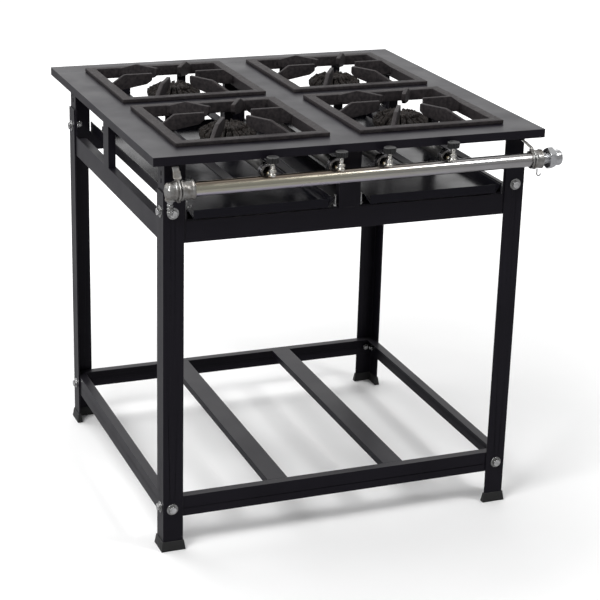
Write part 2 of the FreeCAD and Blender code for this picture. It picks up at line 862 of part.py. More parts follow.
def tray_guides():
    """Two small angles beside the trays' outer sides, and a flat strip between the trays.

    Each carries an edge of a tray's floor and rests on the front and rear rails.
    """
    gauge = D.guide_gauge
    front = post_front + D.rail_gauge
    length = post_rear - D.rail_gauge - front
    angle = new_body("tray_guide_master")
    outline = [
        (0, 0), (D.guide_foot, 0), (D.guide_foot, gauge), (gauge, gauge),
        (gauge, D.guide_height), (0, D.guide_height),
    ]
    pad(angle, sketch(angle, "XZ_Plane", [outline]), length)
    outside = tray_outer + D.guide_gap + gauge
    group("tray_guides", [
        (angle, at(-outside, front + length, frame_rail_top)),
        (angle, at(outside, front, frame_rail_top, turned(180))),
    ])

    strip = new_body("center_tray_guide")
    half = D.center_guide_width / 2
    notch = D.post_width / 2 + D.gap
    notch_depth = D.post_depth - D.rail_gauge + D.gap
    outline = [
        (-half, 0), (-notch, 0), (-notch, notch_depth), (notch, notch_depth), (notch, 0), (half, 0),
        (half, length), (notch, length), (notch, length - notch_depth), (-notch, length - notch_depth),
        (-notch, length), (-half, length),
    ]
    hole_radius = D.post_screw / 2 + D.gap
    first = screw_inset - D.rail_gauge
    holes = []
    for y in (first, length - first):
        for side in (-1, 1):
            holes.append(Circle(D.post_screw_place * side, y, hole_radius))
    pad(strip, sketch(strip, "XY_Plane", [outline] + holes), gauge)
    place(strip, 0, front, frame_rail_top)


# --------------------------------------------------------------------------- grates

def finger_outline(root, inner):
    """A pan-support finger seen from the side: level along its top, cut away underneath.

    It starts inside the frame at the distance root, leaves the frame's inner face at the distance
    inner, and ends at its tip near the middle.  Heights are above the frame's underside.
    """
    top = D.grate_bar_height
    low = top - D.finger_drop
    return [
        (root, top), (inner, top), (D.finger_peak, top + D.finger_rise),
        (D.finger_tip, top + D.finger_rise), (D.finger_tip, top + D.finger_tip_nose),
        (D.finger_tip + D.finger_tip_slope, top - D.finger_tip_drop),
        (D.finger_peak + D.finger_heel, low), (root, low),
    ]


def grates():
    """Four square cast grates: a flat frame with a rim below it, and six fingers for the pan."""
    for burner in BURNERS:
        body = new_body("grate_" + burner.name)
        outer = grate_width / 2
        inner = outer - D.grate_bar
        rim = inner + D.grate_rim
        frame = [rectangle(-outer, -outer, outer, outer), rectangle(-inner, -inner, inner, inner)]
        pad(body, sketch(body, "XY_Plane", frame), D.grate_bar_height)
        rim_loops = [rectangle(-rim, -rim, rim, rim), rectangle(-inner, -inner, inner, inner)]
        pad(body, sketch(body, "XY_Plane", rim_loops), D.grate_rim_depth, back=True)
        root = inner + D.grate_rim / 2
        stretch = 1 / math.sin(math.radians(GRATE_STEP))
        fingers = []
        for turn, factor in ((0, 1), (GRATE_STEP, stretch), (GRATE_STEP * 2, stretch)):
            outline = finger_outline(root * factor, inner * factor)
            drawing = sketch(body, "XZ_Plane", [outline], turn=turn)
            fingers.append(pad(body, drawing, D.finger_gauge, both_ways=True))
        around(body, fingers, 2)
        middle_x = grate_pitch_across * burner.x / 2
        middle_y = grate_pitch_deep * burner.y / 2
        place(body, middle_x, middle_y, D.table_height)


# --------------------------------------------------------------------------- burners

def mixing_tube_front(body, tube_x, tube_z, start, mouth):
    """The straight tube of a front burner, from the bowl to its mouth."""
    tube = Circle(tube_x, tube_z, D.mixer_diameter / 2)
    pad(body, sketch(body, "XZ_Plane", [tube], lift=start), mouth - start)


def mixing_tube_rear(body, tube_x, tube_z, start, mouth, side):
    """The tube of a rear burner: sideways out of the bowl, round a bend, then to the front.

    side is +1 for a tube to the right of its bowl and -1 for a tube to the left.
    """
    bend = D.mixer_bend
    centre_x = tube_x - bend * side
    cross = sketch(body, "YZ_Plane", [Circle(0, tube_z, D.mixer_diameter / 2)], lift=start * side)
    pad(body, cross, centre_x * side - start, back=side < 0)
    bent = sketch(body, "XZ_Plane", [Circle(bend * side, tube_z, D.mixer_diameter / 2)], lift=bend)
    bent.setExpression("AttachmentOffset.Base.x", centre_x.text)
    elbow = body.newObject("PartDesign::Revolution", "Elbow")
    elbow.Profile = bent
    elbow.ReferenceAxis = (bent, ["V_Axis"])
    elbow.Angle = 90
    elbow.Reversed = side < 0
    tube = Circle(tube_x, tube_z, D.mixer_diameter / 2)
    pad(body, sketch(body, "XZ_Plane", [tube], lift=bend), mouth - bend)


def burner_bodies():
    """Cast burner bowls on two ears, each with its mixing tube to the manifold.

    The front burners' tubes run straight to the front.  The rear burners' tubes leave the bowl
    sideways, turn, and run forward between the two columns of burners.
    """
    radius = D.bowl_radius
    hollow = radius - D.bowl_wall
    start = radius - D.bowl_wall / 2
    ear_half = D.ear_width / 2
    for burner in BURNERS:
        body = new_body("burner_body_" + burner.name)
        bowl = [
            (0, 0), (radius, 0), (radius, D.bowl_height), (hollow, D.bowl_height),
            (hollow, D.bowl_floor), (0, D.bowl_floor),
        ]
        revolve(body, "XZ_Plane", bowl, "Z_Axis")
        for low, high in ((-D.ear_reach, -start), (start, D.ear_reach)):
            ear = sketch(body, "XY_Plane", [rectangle(low, -ear_half, high, ear_half)])
            pad(body, ear, D.ear_height)

        middle_x = grate_pitch_across * burner.x / 2
        middle_y = grate_pitch_deep * burner.y / 2
        tube_x = burner.tube - middle_x
        tube_z = mixer_height - burner_seat
        mouth = middle_y - mouth_place
        if burner.y < 0:
            mixing_tube_front(body, tube_x, tube_z, start, mouth)
            bore_length = mouth - hollow + D.bowl_wall / 2
        else:
            mixing_tube_rear(body, tube_x, tube_z, start, mouth, -burner.x)
            bore_length = mouth - D.mixer_bend
        bell = Circle(tube_x, tube_z, D.mouth_diameter / 2)
        pad(body, sketch(body, "XZ_Plane", [bell], lift=mouth - D.mouth_length), D.mouth_length)
        bore = Circle(tube_x, tube_z, D.mixer_bore / 2)
        pocket(body, sketch(body, "XZ_Plane", [bore], lift=mouth), bore_length)
        flare = Circle(tube_x, tube_z, D.mouth_bore / 2)
        pocket(body, sketch(body, "XZ_Plane", [flare], lift=mouth), D.mouth_flare_length)
        place(body, middle_x, middle_y, burner_seat)


def burner_crowns():
    """Cast crowns that sit loose in the bowls, cut all round into two tiers of flame ports."""
    slope = (D.crown_height - D.crown_edge) / (D.crown_radius - D.crown_top_radius)
    groove_depth = (D.crown_ring_place - D.crown_top_radius) * slope + D.crown_ring_depth
    dish_floor = D.crown_height - D.crown_dish_depth
    for burner in BURNERS:
        body = new_body("burner_crown_" + burner.name)
        spigot = D.bowl_radius - D.bowl_wall - D.gap
        outline = [
            (0, as_size(0) - D.crown_spigot), (spigot, as_size(0) - D.crown_spigot), (spigot, 0),
            (D.crown_radius, 0), (D.crown_radius, D.crown_edge),
            (D.crown_top_radius, D.crown_height), (D.crown_dish_rim, D.crown_height),
            (D.crown_dish_radius, dish_floor), (0, dish_floor),
        ]
        revolve(body, "XZ_Plane", outline, "Z_Axis")
        half = D.crown_slot_width / 2
        slot = rectangle(D.crown_slot_start, -half, D.crown_radius + D.crown_slot_overrun, half)
        drawing = sketch(body, "XY_Plane", [slot], lift=D.crown_height)
        cut = pocket(body, drawing, D.crown_height - D.crown_slot_floor)
        around(body, [cut], D.crown_slots)
        groove_outer = D.crown_ring_place + D.crown_slot_width
        groove = [Circle(0, 0, groove_outer), Circle(0, 0, D.crown_ring_place)]
        pocket(body, sketch(body, "XY_Plane", groove, lift=D.crown_height), groove_depth)
        middle_x = grate_pitch_across * burner.x / 2
        middle_y = grate_pitch_deep * burner.y / 2
        place(body, middle_x, middle_y, burner_seat + D.bowl_height)


def burner_straps():
    """Flat straps under the table from front to rear; the burners' ears rest on them.

    Each hangs from the table by an upright at its rear end and one between the two burners.
    """
    master = new_body("burner_strap_master")
    top = table_under - burner_seat
    gauge = D.strap_gauge
    half = gauge / 2
    outline = [
        (strap_front, -gauge), (strap_rear, -gauge), (strap_rear, top),
        (strap_rear - gauge, top), (strap_rear - gauge, 0),
        (half, 0), (half, top), (-half, top), (-half, 0), (strap_front, 0),
    ]
    pad(master, sketch(master, "YZ_Plane", [outline]), D.strap_width, both_ways=True)
    placements = []
    for across in (-1, 1):
        for side in (-1, 1):
            x = grate_pitch_across * across / 2 + D.strap_place * side
            placements.append(at(x, 0, burner_seat))
    group("burner_straps", copies_of(master, placements))


def air_shutters():
    """Sleeves that turn on the mixing tubes' mouths and let in more or less air."""
    for burner in BURNERS:
        body = new_body("air_shutter_" + burner.name)
        inside = D.mouth_diameter / 2 + D.running_gap
        outside = inside + D.shutter_wall
        ring = [Circle(0, 0, outside), Circle(0, 0, inside)]
        pad(body, sketch(body, "XZ_Plane", ring), D.shutter_length, back=True)
        half = D.shutter_slot / 2
        middle = D.shutter_length / 2
        slot = rectangle(-half, middle - half, half, middle + half)
        cut = pocket(body, sketch(body, "XY_Plane", [slot]), outside + D.gap, back=True)
        around(body, [cut], 4, "Y_Axis")
        place(body, burner.tube, mouth_place, mixer_height)


# --------------------------------------------------------------------------- gas manifold

def height_on_pipe(x):
    """The height of the pipe's axis at x: the pipe hangs lower at its left end."""
    return pipe_height - (pipe_right - x) * pipe_slope


def manifold():
    """The gas pipe across the front with its couplings, inlet elbow, hose barb and end cap."""
    pipe = new_body("manifold_pipe")
    wall = [Circle(0, 0, D.pipe_diameter / 2), Circle(0, 0, D.pipe_diameter / 2 - D.pipe_wall)]
    pad(pipe, sketch(pipe, "YZ_Plane", wall), pipe_right - pipe_left)
    place(pipe, pipe_left, pipe_place, height_on_pipe(pipe_left), PIPE_TURN)

    coupling = new_body("pipe_coupling_master")
    bore = D.pipe_diameter / 2 + D.running_gap / 2
    rim = D.coupling_diameter / 2
    half = D.coupling_length / 2
    edge = D.coupling_round
    outline = [
        (-half, bore), (half, bore), (half, rim - edge), (half - edge, rim),
        (edge - half, rim), (-half, rim - edge),
    ]
    revolve(coupling, "XZ_Plane", outline, "X_Axis")
    spots = [at(x, pipe_place, height_on_pipe(x), PIPE_TURN) for x in (pipe_left, pipe_right)]
    group("pipe_couplings", copies_of(coupling, spots))

    elbow = new_body("inlet_elbow")
    neck = D.pipe_diameter / 2
    body_radius = D.elbow_diameter / 2
    shoulder = eye_left_place - D.gap - pipe_left
    end = shoulder - D.elbow_length
    outline = [
        (end, 0), (-D.running_gap, 0), (-D.running_gap, neck), (shoulder, neck), (shoulder, body_radius),
        (end + D.elbow_shoulder, body_radius), (end + D.elbow_nose, body_radius - D.elbow_nose_drop),
        (end, D.elbow_end_radius),
    ]
    revolve(elbow, "XZ_Plane", outline, "X_Axis")
    barb_x = end + D.elbow_length / 2 - D.barb_offset
    boss_foot = body_radius + D.elbow_boss_rise
    boss = Circle(barb_x, 0, D.barb_radius + D.elbow_boss_wall)
    pad(elbow, sketch(elbow, "XY_Plane", [boss]), boss_foot, back=True)
    socket = Circle(barb_x, 0, D.barb_root)
    pocket(elbow, sketch(elbow, "XY_Plane", [socket], lift=-boss_foot), D.barb_socket, back=True)
    place(elbow, pipe_left, pipe_place, height_on_pipe(pipe_left), PIPE_TURN)

    barb = new_body("hose_barb")
    root = D.barb_root - D.running_gap
    pitch = D.barb_length / D.barb_ridges
    tail = D.barb_socket - D.barb_socket_gap
    profile = [(D.barb_bore, tail), (root, tail), (root, 0)]
    for ridge in range(DIMENSIONS["barb_ridges"]):
        step = as_size(0) - pitch * ridge
        profile.append((D.barb_radius, step))
        profile.append((D.barb_root - D.barb_notch, step - pitch))
    profile.append((D.barb_bore, as_size(0) - D.barb_length))
    revolve(barb, "XZ_Plane", profile, "Z_Axis")
    barb_place = pipe_left + barb_x + boss_foot * pipe_slope
    barb_height = height_on_pipe(pipe_left + barb_x) - boss_foot
    place(barb, barb_place, pipe_place, barb_height, PIPE_TURN)

    nipple = new_body("end_nipple")
    ring = [Circle(0, 0, D.nipple_diameter / 2), Circle(0, 0, D.nipple_diameter / 2 - D.pipe_wall)]
    start = pipe_right + D.running_gap
    pad(nipple, sketch(nipple, "YZ_Plane", ring), cap_left + D.cap_length / 2 - start)
    place(nipple, start, pipe_place, height_on_pipe(start), PIPE_TURN)

    cap = new_body("end_cap")
    hexagon_length = D.cap_hexagon_length
    pad(cap, sketch(cap, "YZ_Plane", [hexagon(D.cap_across, FLATS_UPRIGHT)]), hexagon_length)
    round_end = Circle(0, 0, D.cap_end_diameter / 2)
    pad(cap, sketch(cap, "YZ_Plane", [round_end], lift=hexagon_length), D.cap_length - hexagon_length)
    mouth = Circle(0, 0, D.nipple_diameter / 2 + D.running_gap)
    pocket(cap, sketch(cap, "YZ_Plane", [mouth]), D.cap_length / 2 + D.gap, back=True)
    place(cap, cap_left, pipe_place, height_on_pipe(cap_left), PIPE_TURN)


def hanger(eye_x, eye_diameter, top_x, foot_width):
    """A flat strap that widens down from under the table to a round eye that holds the pipe."""
    middle = pipe_place.value
    height = height_on_pipe(eye_x).value
    gauge = D.hanger_gauge.value
    thick = D.eye_gauge.value
    left = eye_x.value
    bore = (D.pipe_diameter / 2 + D.running_gap * 2).value
    rear = hanger_place.value
    table = table_under.value
    wide = D.hanger_top_width.value
    eye_centre = FreeCAD.Vector(left, middle, height)
    eye = Part.makeCylinder(eye_diameter.value / 2, thick, eye_centre, ALONG_X)
    hole_start = FreeCAD.Vector(left - thick, middle, height)
    hole = Part.makeCylinder(bore, thick * 3, hole_start, ALONG_X)
    clear = height + D.coupling_diameter.value / 2 + D.gap.value
    neck = left + thick / 2
    levels = (
        (top_x.value, rear, table, wide),
        (top_x.value, rear, table - D.table_edge.value, wide),
        (neck, middle, clear + D.gap.value, foot_width.value),
        (neck, middle, clear, thick),
        (neck, middle, height + bore + D.gap.value, thick),
    )
    wires = []
    for x, y, z, width in levels:
        low_x = x - width / 2
        high_x = x + width / 2
        low_y = y - gauge / 2
        high_y = y + gauge / 2
        corners = [(low_x, low_y), (high_x, low_y), (high_x, high_y), (low_x, high_y), (low_x, low_y)]
        wires.append(Part.makePolygon([FreeCAD.Vector(*corner, z) for corner in corners]))
    strap = Part.makeLoft(wires, True, True)
    tab_corner = FreeCAD.Vector(top_x.value - wide / 2, rear, table - gauge)
    tab = Part.makeBox(wide, wide * 2, gauge, tab_corner)
    return eye.fuse([strap, tab]).cut(hole)


def clip(place_on_pipe):
    """A wire hook under a coupling: straight down, then round and up again."""
    x = place_on_pipe.value
    wire_radius = D.clip_wire.value / 2
    top = (height_on_pipe(place_on_pipe) - D.coupling_diameter / 2 - D.running_gap * 2).value
    middle = pipe_place.value
    drop = D.clip_drop.value
    bend = D.clip_bend.value
    start = FreeCAD.Vector(x, middle, top)
    low = FreeCAD.Vector(x, middle, top - drop)
    turn = FreeCAD.Vector(x + bend, middle, top - drop - bend)
    end = FreeCAD.Vector(x + bend * 2, middle, top - drop)
    path = Part.Wire([Part.makeLine(start, low), Part.Arc(low, turn, end).toShape()])
    section = Part.Wire([Part.makeCircle(wire_radius, start, UP)])
    return path.makePipeShell([section], True, False)


def hangers_and_clips():
    """The two pipe hangers and the two wire clips under the couplings."""
    compound("pipe_hangers", [
        hanger(eye_left_place, D.eye_left, hanger_left_top, D.hanger_left_width),
        hanger(eye_right_place, D.eye_right, hanger_right_top, D.hanger_right_width),
    ])
    compound("hanger_clips", [clip(pipe_left), clip(pipe_right)])


def valves():
    """Plated valve bodies on top of the pipe, with a jet towards each mixing tube and a knob."""
    body = new_body("valve_body_master")
    saddle_height = D.valve_nut_rise
    gland_top = D.knob_rise + D.gland_cover
    nut_top = saddle_height + D.valve_nut_height
    arm_z = mixer_height - pipe_height
    pad(body, sketch(body, "XY_Plane", [Circle(0, 0, D.valve_base / 2)]), saddle_height)
    nut = hexagon(D.valve_nut_across)
    pad(body, sketch(body, "XY_Plane", [nut], lift=saddle_height), D.valve_nut_height)
    gland = Circle(0, 0, D.gland_diameter / 2)
    pad(body, sketch(body, "XY_Plane", [gland], lift=nut_top), gland_top - nut_top)
    arm = Circle(0, arm_z, D.arm_diameter / 2)
    pad(body, sketch(body, "XZ_Plane", [arm]), D.arm_reach, back=True)
    spindle_hole = Circle(0, 0, D.spindle_diameter / 2 + D.running_gap)
    spindle_sketch = sketch(body, "XY_Plane", [spindle_hole], lift=gland_top)
    pocket(body, spindle_sketch, D.spindle_length + D.gap)
    pipe_room = Circle(0, 0, D.pipe_diameter / 2 + D.running_gap)
    pocket(body, sketch(body, "YZ_Plane", [pipe_room]), D.pipe_diameter * 2, both_ways=True)
    spots = [at(burner.tube, pipe_place, height_on_pipe(burner.tube)) for burner in BURNERS]
    group("valve_bodies", copies_of(body, spots))

    jet = new_body("jet_master")
    outline = [
        (0, 0), (D.jet_diameter / 2, 0), (D.jet_diameter / 2, D.jet_shoulder),
        (D.jet_tip_diameter / 2, D.jet_length), (0, D.jet_length),
    ]
    revolve(jet, "XY_Plane", outline, "Y_Axis")
    jet_start = pipe_place + D.arm_reach
    spots = [at(burner.tube, jet_start, height_on_pipe(burner.tube) + arm_z) for burner in BURNERS]
    group("gas_jets", copies_of(jet, spots))

    for number, burner in enumerate(BURNERS, start=1):
        knob = new_body(f"knob_{number}")
        radius = D.knob_diameter / 2
        block = pad(knob, sketch(knob, "XY_Plane", [Circle(0, 0, radius)]), D.knob_height)
        top_edge = chamfer_edges(knob, block, D.knob_chamfer, lambda edge: is_top_edge(edge, D.knob_height))
        knob.Tip = top_edge
        groove_sketch = sketch(knob, "XY_Plane", [Circle(radius, 0, D.knob_groove)])
        groove = pocket(knob, groove_sketch, D.knob_height - D.knob_chamfer, back=True)
        around(knob, [groove], D.knob_ribs)
        room = Circle(0, 0, D.gland_diameter / 2 + D.running_gap)
        room_sketch = sketch(knob, "XY_Plane", [room])
        pocket(knob, room_sketch, D.gland_cover + D.gap, back=True)
        spindle = sketch(knob, "XY_Plane", [Circle(0, 0, D.spindle_diameter / 2)], lift=D.knob_height / 2)
        length = D.spindle_length + D.knob_height / 2 - D.gland_cover
        pad(knob, spindle, length, back=True)
        place(knob, burner.tube, pipe_place, height_on_pipe(burner.tube) + D.knob_rise)


def is_top_edge(edge, height):
    """True for an edge that lies at that height."""
    return all(abs(vertex.Point.z - height.value) < TINY for vertex in edge.Vertexes)


# --------------------------------------------------------------------------- build and write

def check():
    """Stops the script if a feature failed, a cut took nothing away, or a shape is not sound."""
    doc.recompute()
    for item in doc.Objects:
        if "Invalid" in item.State or "Error" in item.State:
            raise SystemExit(f"{item.Label} failed: {item.State}")
        if item.TypeId == "PartDesign::Pocket":
            if item.Shape.Volume > item.BaseFeature.Shape.Volume - TINY:
                raise SystemExit(f"{item.Label} of {item.getParent().Label} cuts nothing")
    for item in parts:
        if item.Shape.isNull() or not item.Shape.isValid():
            raise SystemExit(f"{item.Label} has no sound shape")


def write():
    """Writes each sub-part to its own STEP file."""
    os.makedirs("parts", exist_ok=True)
    for item in parts:
        item.Shape.exportStep(f"parts/{item.Label}.step")


table_top()
table_rear_strip()
corner_posts()
frame_rails()
uprights()
legs()
leg_shoes()
shelf()
frame_fasteners()
post_screws()
drip_trays()
tray_guides()
grates()
burner_bodies()
burner_crowns()
burner_straps()
air_shutters()
manifold()
hangers_and_clips()
valves()
check()
write()
for item in parts:
    box = item.Shape.BoundBox
    print(f"{item.Label:28s} solids {len(item.Shape.Solids):2d}  "
          f"x {box.XMin:7.1f} {box.XMax:7.1f}  y {box.YMin:7.1f} {box.YMax:7.1f}  "
          f"z {box.ZMin:6.1f} {box.ZMax:6.1f}")
print(len(parts), "sub-parts")
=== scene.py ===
# %% [markdown]
# # A four-burner gas stove on an angle-iron stand
#
# This lesson dresses an engineering model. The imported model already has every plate, pipe and
# casting in its place, in metres. Here each finish is mixed from Blender's own nodes, and the
# castings and turned parts, which a drawing keeps plain, are worked out again as finer surfaces.

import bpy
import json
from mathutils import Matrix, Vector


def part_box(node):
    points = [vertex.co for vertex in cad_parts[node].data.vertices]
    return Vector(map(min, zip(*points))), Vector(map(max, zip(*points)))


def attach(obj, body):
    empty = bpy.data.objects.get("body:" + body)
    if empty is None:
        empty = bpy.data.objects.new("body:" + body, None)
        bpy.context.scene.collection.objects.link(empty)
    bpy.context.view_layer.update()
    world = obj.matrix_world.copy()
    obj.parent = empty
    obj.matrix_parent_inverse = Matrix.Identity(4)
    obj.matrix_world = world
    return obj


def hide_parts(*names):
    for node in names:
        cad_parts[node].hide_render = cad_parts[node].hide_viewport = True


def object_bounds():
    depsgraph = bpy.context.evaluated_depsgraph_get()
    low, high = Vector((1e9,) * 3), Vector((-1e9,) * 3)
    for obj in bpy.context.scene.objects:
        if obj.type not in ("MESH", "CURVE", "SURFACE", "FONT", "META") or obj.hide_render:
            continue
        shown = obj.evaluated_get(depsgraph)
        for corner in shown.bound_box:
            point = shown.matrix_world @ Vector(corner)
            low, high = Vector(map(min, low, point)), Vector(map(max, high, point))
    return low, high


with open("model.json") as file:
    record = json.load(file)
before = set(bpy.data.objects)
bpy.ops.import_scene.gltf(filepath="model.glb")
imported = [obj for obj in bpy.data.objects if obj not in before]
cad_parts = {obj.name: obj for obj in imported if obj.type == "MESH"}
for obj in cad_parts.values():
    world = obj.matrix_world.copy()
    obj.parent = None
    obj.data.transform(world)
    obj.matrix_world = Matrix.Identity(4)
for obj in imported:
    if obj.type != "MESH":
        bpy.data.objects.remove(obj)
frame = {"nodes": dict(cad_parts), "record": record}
cad_box = [list(corner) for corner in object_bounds()]

import json
import math

import bmesh
import bpy
import numpy as np
from mathutils import Matrix, Vector

nodes = frame["nodes"]
MM = 0.001
print("nodes:", len(nodes), " box:", np.round(cad_box, 3).tolist())

# %% [markdown]
# ## Camera
#
# The stove is seen from its front left and from above, through a long lens, so the four legs
# stay almost upright. A camera looks along its own -Z axis, so its three axes are worked out
# from an azimuth, an elevation and a slight roll, and become the columns of its matrix.

# %% Camera
CAMERA_PLACE = (-1.25892, -3.22971, 1.61363)
AZIMUTH, ELEVATION, ROLL = math.radians(21.69), math.radians(19.89), math.radians(1.61)


def camera_axes(azimuth, elevation, roll):
    """The camera's right, up and backward axes.

    It looks towards (sin a cos e, cos a cos e, -sin e). Roll turns right and up about that line.
    """
    forward = Vector((math.sin(azimuth) * math.cos(elevation),
                      math.cos(azimuth) * math.cos(elevation), -math.sin(elevation)))
    level = forward.cross(Vector((0, 0, 1))).normalized()
    upright = level.cross(forward)
    right = math.cos(roll) * level + math.sin(roll) * upright
    up = math.cos(roll) * upright - math.sin(roll) * level
    return right, up, -forward


camera = bpy.data.objects.new("camera", bpy.data.cameras.new("camera"))
bpy.context.scene.collection.objects.link(camera)
camera.data.sensor_width = 36
camera.data.lens = 105.15
camera.data.clip_end = 60
turn = Matrix(camera_axes(AZIMUTH, ELEVATION, ROLL)).transposed().to_4x4()
camera.matrix_world = Matrix.Translation(CAMERA_PLACE) @ turn
bpy.context.scene.camera = camera
print("camera lens:", camera.data.lens, "mm")

# %% [markdown]
# ## Studio
#
# A product shot of black paint is lit by what the paint mirrors: the white room shows as grey
# on the table, which is seen at a low angle, and hardly at all on the faces towards the lens.
# So the world is a soft white behind the stove and much dimmer on the lens's side, which also
# gives bright metal something dark to mirror. Two large lamps light it from above, and a smaller
# one to the right draws the long highlight on the gas pipe.

# %% Studio light
def lamp(name, place, aim, size, power, colour=(1, 1, 1)):
    """A square soft box at place that faces aim."""
    data = bpy.data.lights.new(name, "AREA")
    data.shape, data.size, data.energy, data.color = "SQUARE", size, power, colour
    box = bpy.data.objects.new(name, data)
    bpy.context.scene.collection.objects.link(box)
    box.location = place
    box.rotation_mode = "QUATERNION"
    box.rotation_quaternion = (Vector(aim) - Vector(place)).to_track_quat("-Z", "Y")
    return box


lamp("key_lamp", (-2.6, -1.6, 3.4), (0, 0, 0.5), 1.8, 95)
lamp("pipe_lamp", (1.95, -2.1, 3.5), (0.3, -0.3, 0.7), 0.9, 42)
lamp("top_lamp", (-0.9, 2.0, 3.8), (0, 0, 0.6), 2.4, 55)

world = bpy.data.worlds.new("studio")
bpy.context.scene.world = world
world.use_nodes = True
world_nodes, world_links = world.node_tree.nodes, world.node_tree.links
background = world_nodes["Background"]
direction = world_nodes.new("ShaderNodeTexCoord")
split = world_nodes.new("ShaderNodeSeparateXYZ")
depth = world_nodes.new("ShaderNodeMapRange")
world_links.new(direction.outputs["Generated"], split.inputs[0])
world_links.new(split.outputs["Y"], depth.inputs["Value"])
depth.inputs["From Min"].default_value = 0.0
depth.inputs["From Max"].default_value = 0.8
depth.inputs["To Min"].default_value = 0.35
depth.inputs["To Max"].default_value = 1.3
seen = world_nodes.new("ShaderNodeLightPath")
brightness = world_nodes.new("ShaderNodeMix")
world_links.new(seen.outputs["Is Camera Ray"], brightness.inputs["Factor"])
world_links.new(depth.outputs["Result"], brightness.inputs["A"])
brightness.inputs["B"].default_value = 1.0
world_links.new(brightness.outputs["Result"], background.inputs["Strength"])
background.inputs["Color"].default_value = (1, 1, 1, 1)
bpy.context.scene.view_settings.view_transform = "Standard"

# %% [markdown]
# ## Meshes from formulas
#
# Castings and turned parts are surfaces over a grid: one direction follows a profile, the other
# goes round. Whole arrays of points are worked out at once, and the faces join each point to
# its neighbours in the grid.

# %% Grid helpers
def grid_faces(rows, columns, close_rows=False, close_columns=True):
    """Four-cornered faces between neighbouring points, numbered row by row."""
    row = np.arange(rows if close_rows else rows - 1)[:, None]
    column = np.arange(columns if close_columns else columns - 1)[None, :]
    next_row, next_column = (row + 1) % rows, (column + 1) % columns
    corners = [row * columns + column, row * columns + next_column,
               next_row * columns + next_column, next_row * columns + column]
    return np.stack(np.broadcast_arrays(*corners), axis=-1).reshape(-1, 4)


def rounded(corners, radius, steps=4, closed=False):
    """A polyline whose corners are rounded.

    Each corner c becomes the curve (1-t)^2 a + 2t(1-t) c + t^2 b, where a and b lie on its two
    sides, radius away from it, or half a side away where the side is shorter.
    """
    points = np.asarray(corners, float)
    before, after = np.roll(points, 1, axis=0), np.roll(points, -1, axis=0)
    radius = np.broadcast_to(np.asarray(radius, float), len(points))[:, None]
    ends = []
    for neighbour in (before, after):
        side = neighbour - points
        length = np.maximum(np.linalg.norm(side, axis=1, keepdims=True), 1e-9)
        ends.append(points + side * np.minimum(radius / length, 0.5))
    t = np.linspace(0, 1, steps + 1)[None, :, None]
    start, end, middle = ends[0][:, None], ends[1][:, None], points[:, None]
    curve = (1 - t) ** 2 * start + 2 * t * (1 - t) * middle + t ** 2 * end
    if closed:
        return curve.reshape(-1, points.shape[1])
    inner = curve[1:-1].reshape(-1, points.shape[1])
    return np.vstack([points[:1], inner, points[-1:]])


def turned(profile, columns, factor=None):
    """A surface of revolution about Z: (f r cos a, f r sin a, z) for a profile of (r, z).

    factor is an array of rows by columns that swells the radius at each point.
    """
    angle = np.linspace(0, 2 * np.pi, columns, endpoint=False)[None, :]
    radius = profile[:, :1] * (1 if factor is None else factor)
    radius = np.broadcast_to(radius, (len(profile), columns))
    height = np.broadcast_to(profile[:, 1:2], radius.shape)
    points = np.stack([radius * np.cos(angle), radius * np.sin(angle), height], axis=-1)
    return points.reshape(-1, 3), grid_faces(len(profile), columns)


def along_x(points):
    """Lays a part that was turned about Z along X: its Z becomes X."""
    return points[:, [2, 0, 1]]


rng = np.random.default_rng(7)
WAVES = rng.normal(size=(48, 3))
PHASES = rng.uniform(0, 2 * np.pi, 48)


def unevenness(points, scale):
    """Smooth random height between about -1 and 1: the mean of 48 sine waves, each with its own
    direction and phase, over sqrt(24). scale is the typical wavelength in millimetres."""
    angle = points @ WAVES.T * (2 * np.pi / scale / 1.7) + PHASES
    return np.sin(angle).sum(axis=-1) / math.sqrt(24)


# %% Make a piece of closed shells
def make_piece(name, shells, finish, body, node, smooth_below=35):
    """A mesh object from (points in millimetres, faces) shells, each one closed.

    Poles and seams are merged, normals are turned outwards, and edges sharper than smooth_below
    degrees stay crisp. The piece rides on its body and stands for its node.
    """
    joined = bmesh.new()
    for points, faces in shells:
        shell = bpy.data.meshes.new(name + "_shell")
        shell.from_pydata((np.asarray(points) * MM).tolist(), [], [list(map(int, face)) for face in faces])
        work = bmesh.new()
        work.from_mesh(shell)
        bmesh.ops.remove_doubles(work, verts=work.verts, dist=2e-6)
        bmesh.ops.dissolve_degenerate(work, edges=work.edges, dist=1e-6)
        bmesh.ops.recalc_face_normals(work, faces=work.faces)
        work.to_mesh(shell)
        work.free()
        joined.from_mesh(shell)
        bpy.data.meshes.remove(shell)
    mesh = bpy.data.meshes.new(name)
    joined.to_mesh(mesh)
    joined.free()
    mesh.shade_smooth()
    mesh.set_sharp_from_angle(angle=math.radians(smooth_below))
    mesh.materials.append(finish)
    piece = bpy.data.objects.new(name, mesh)
    bpy.context.scene.collection.objects.link(piece)
    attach(piece, body)
    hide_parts(node)
    print(f"{name}: {len(mesh.polygons)} faces")
    return piece

# %% [markdown]
# ## Shared effects
#
# Real finishes share a few habits: paint rubs thin along edges, castings have a sandy skin,
# dust settles on faces that look up, and rolled metal carries fine lines. Each habit is one node
# group with named inputs, made once here and placed in every material that shows it.

# %% Node helpers
def add(tree, kind, inputs=None, **settings):
    """Adds a node. An input that is a socket is linked, and anything else is set as a value."""
    made = tree.nodes.new("ShaderNode" + kind)
    for name, value in settings.items():
        setattr(made, name, value)
    for name, value in (inputs or {}).items():
        if isinstance(value, bpy.types.NodeSocket):
            tree.links.new(value, made.inputs[name])
        else:
            made.inputs[name].default_value = value
    return made


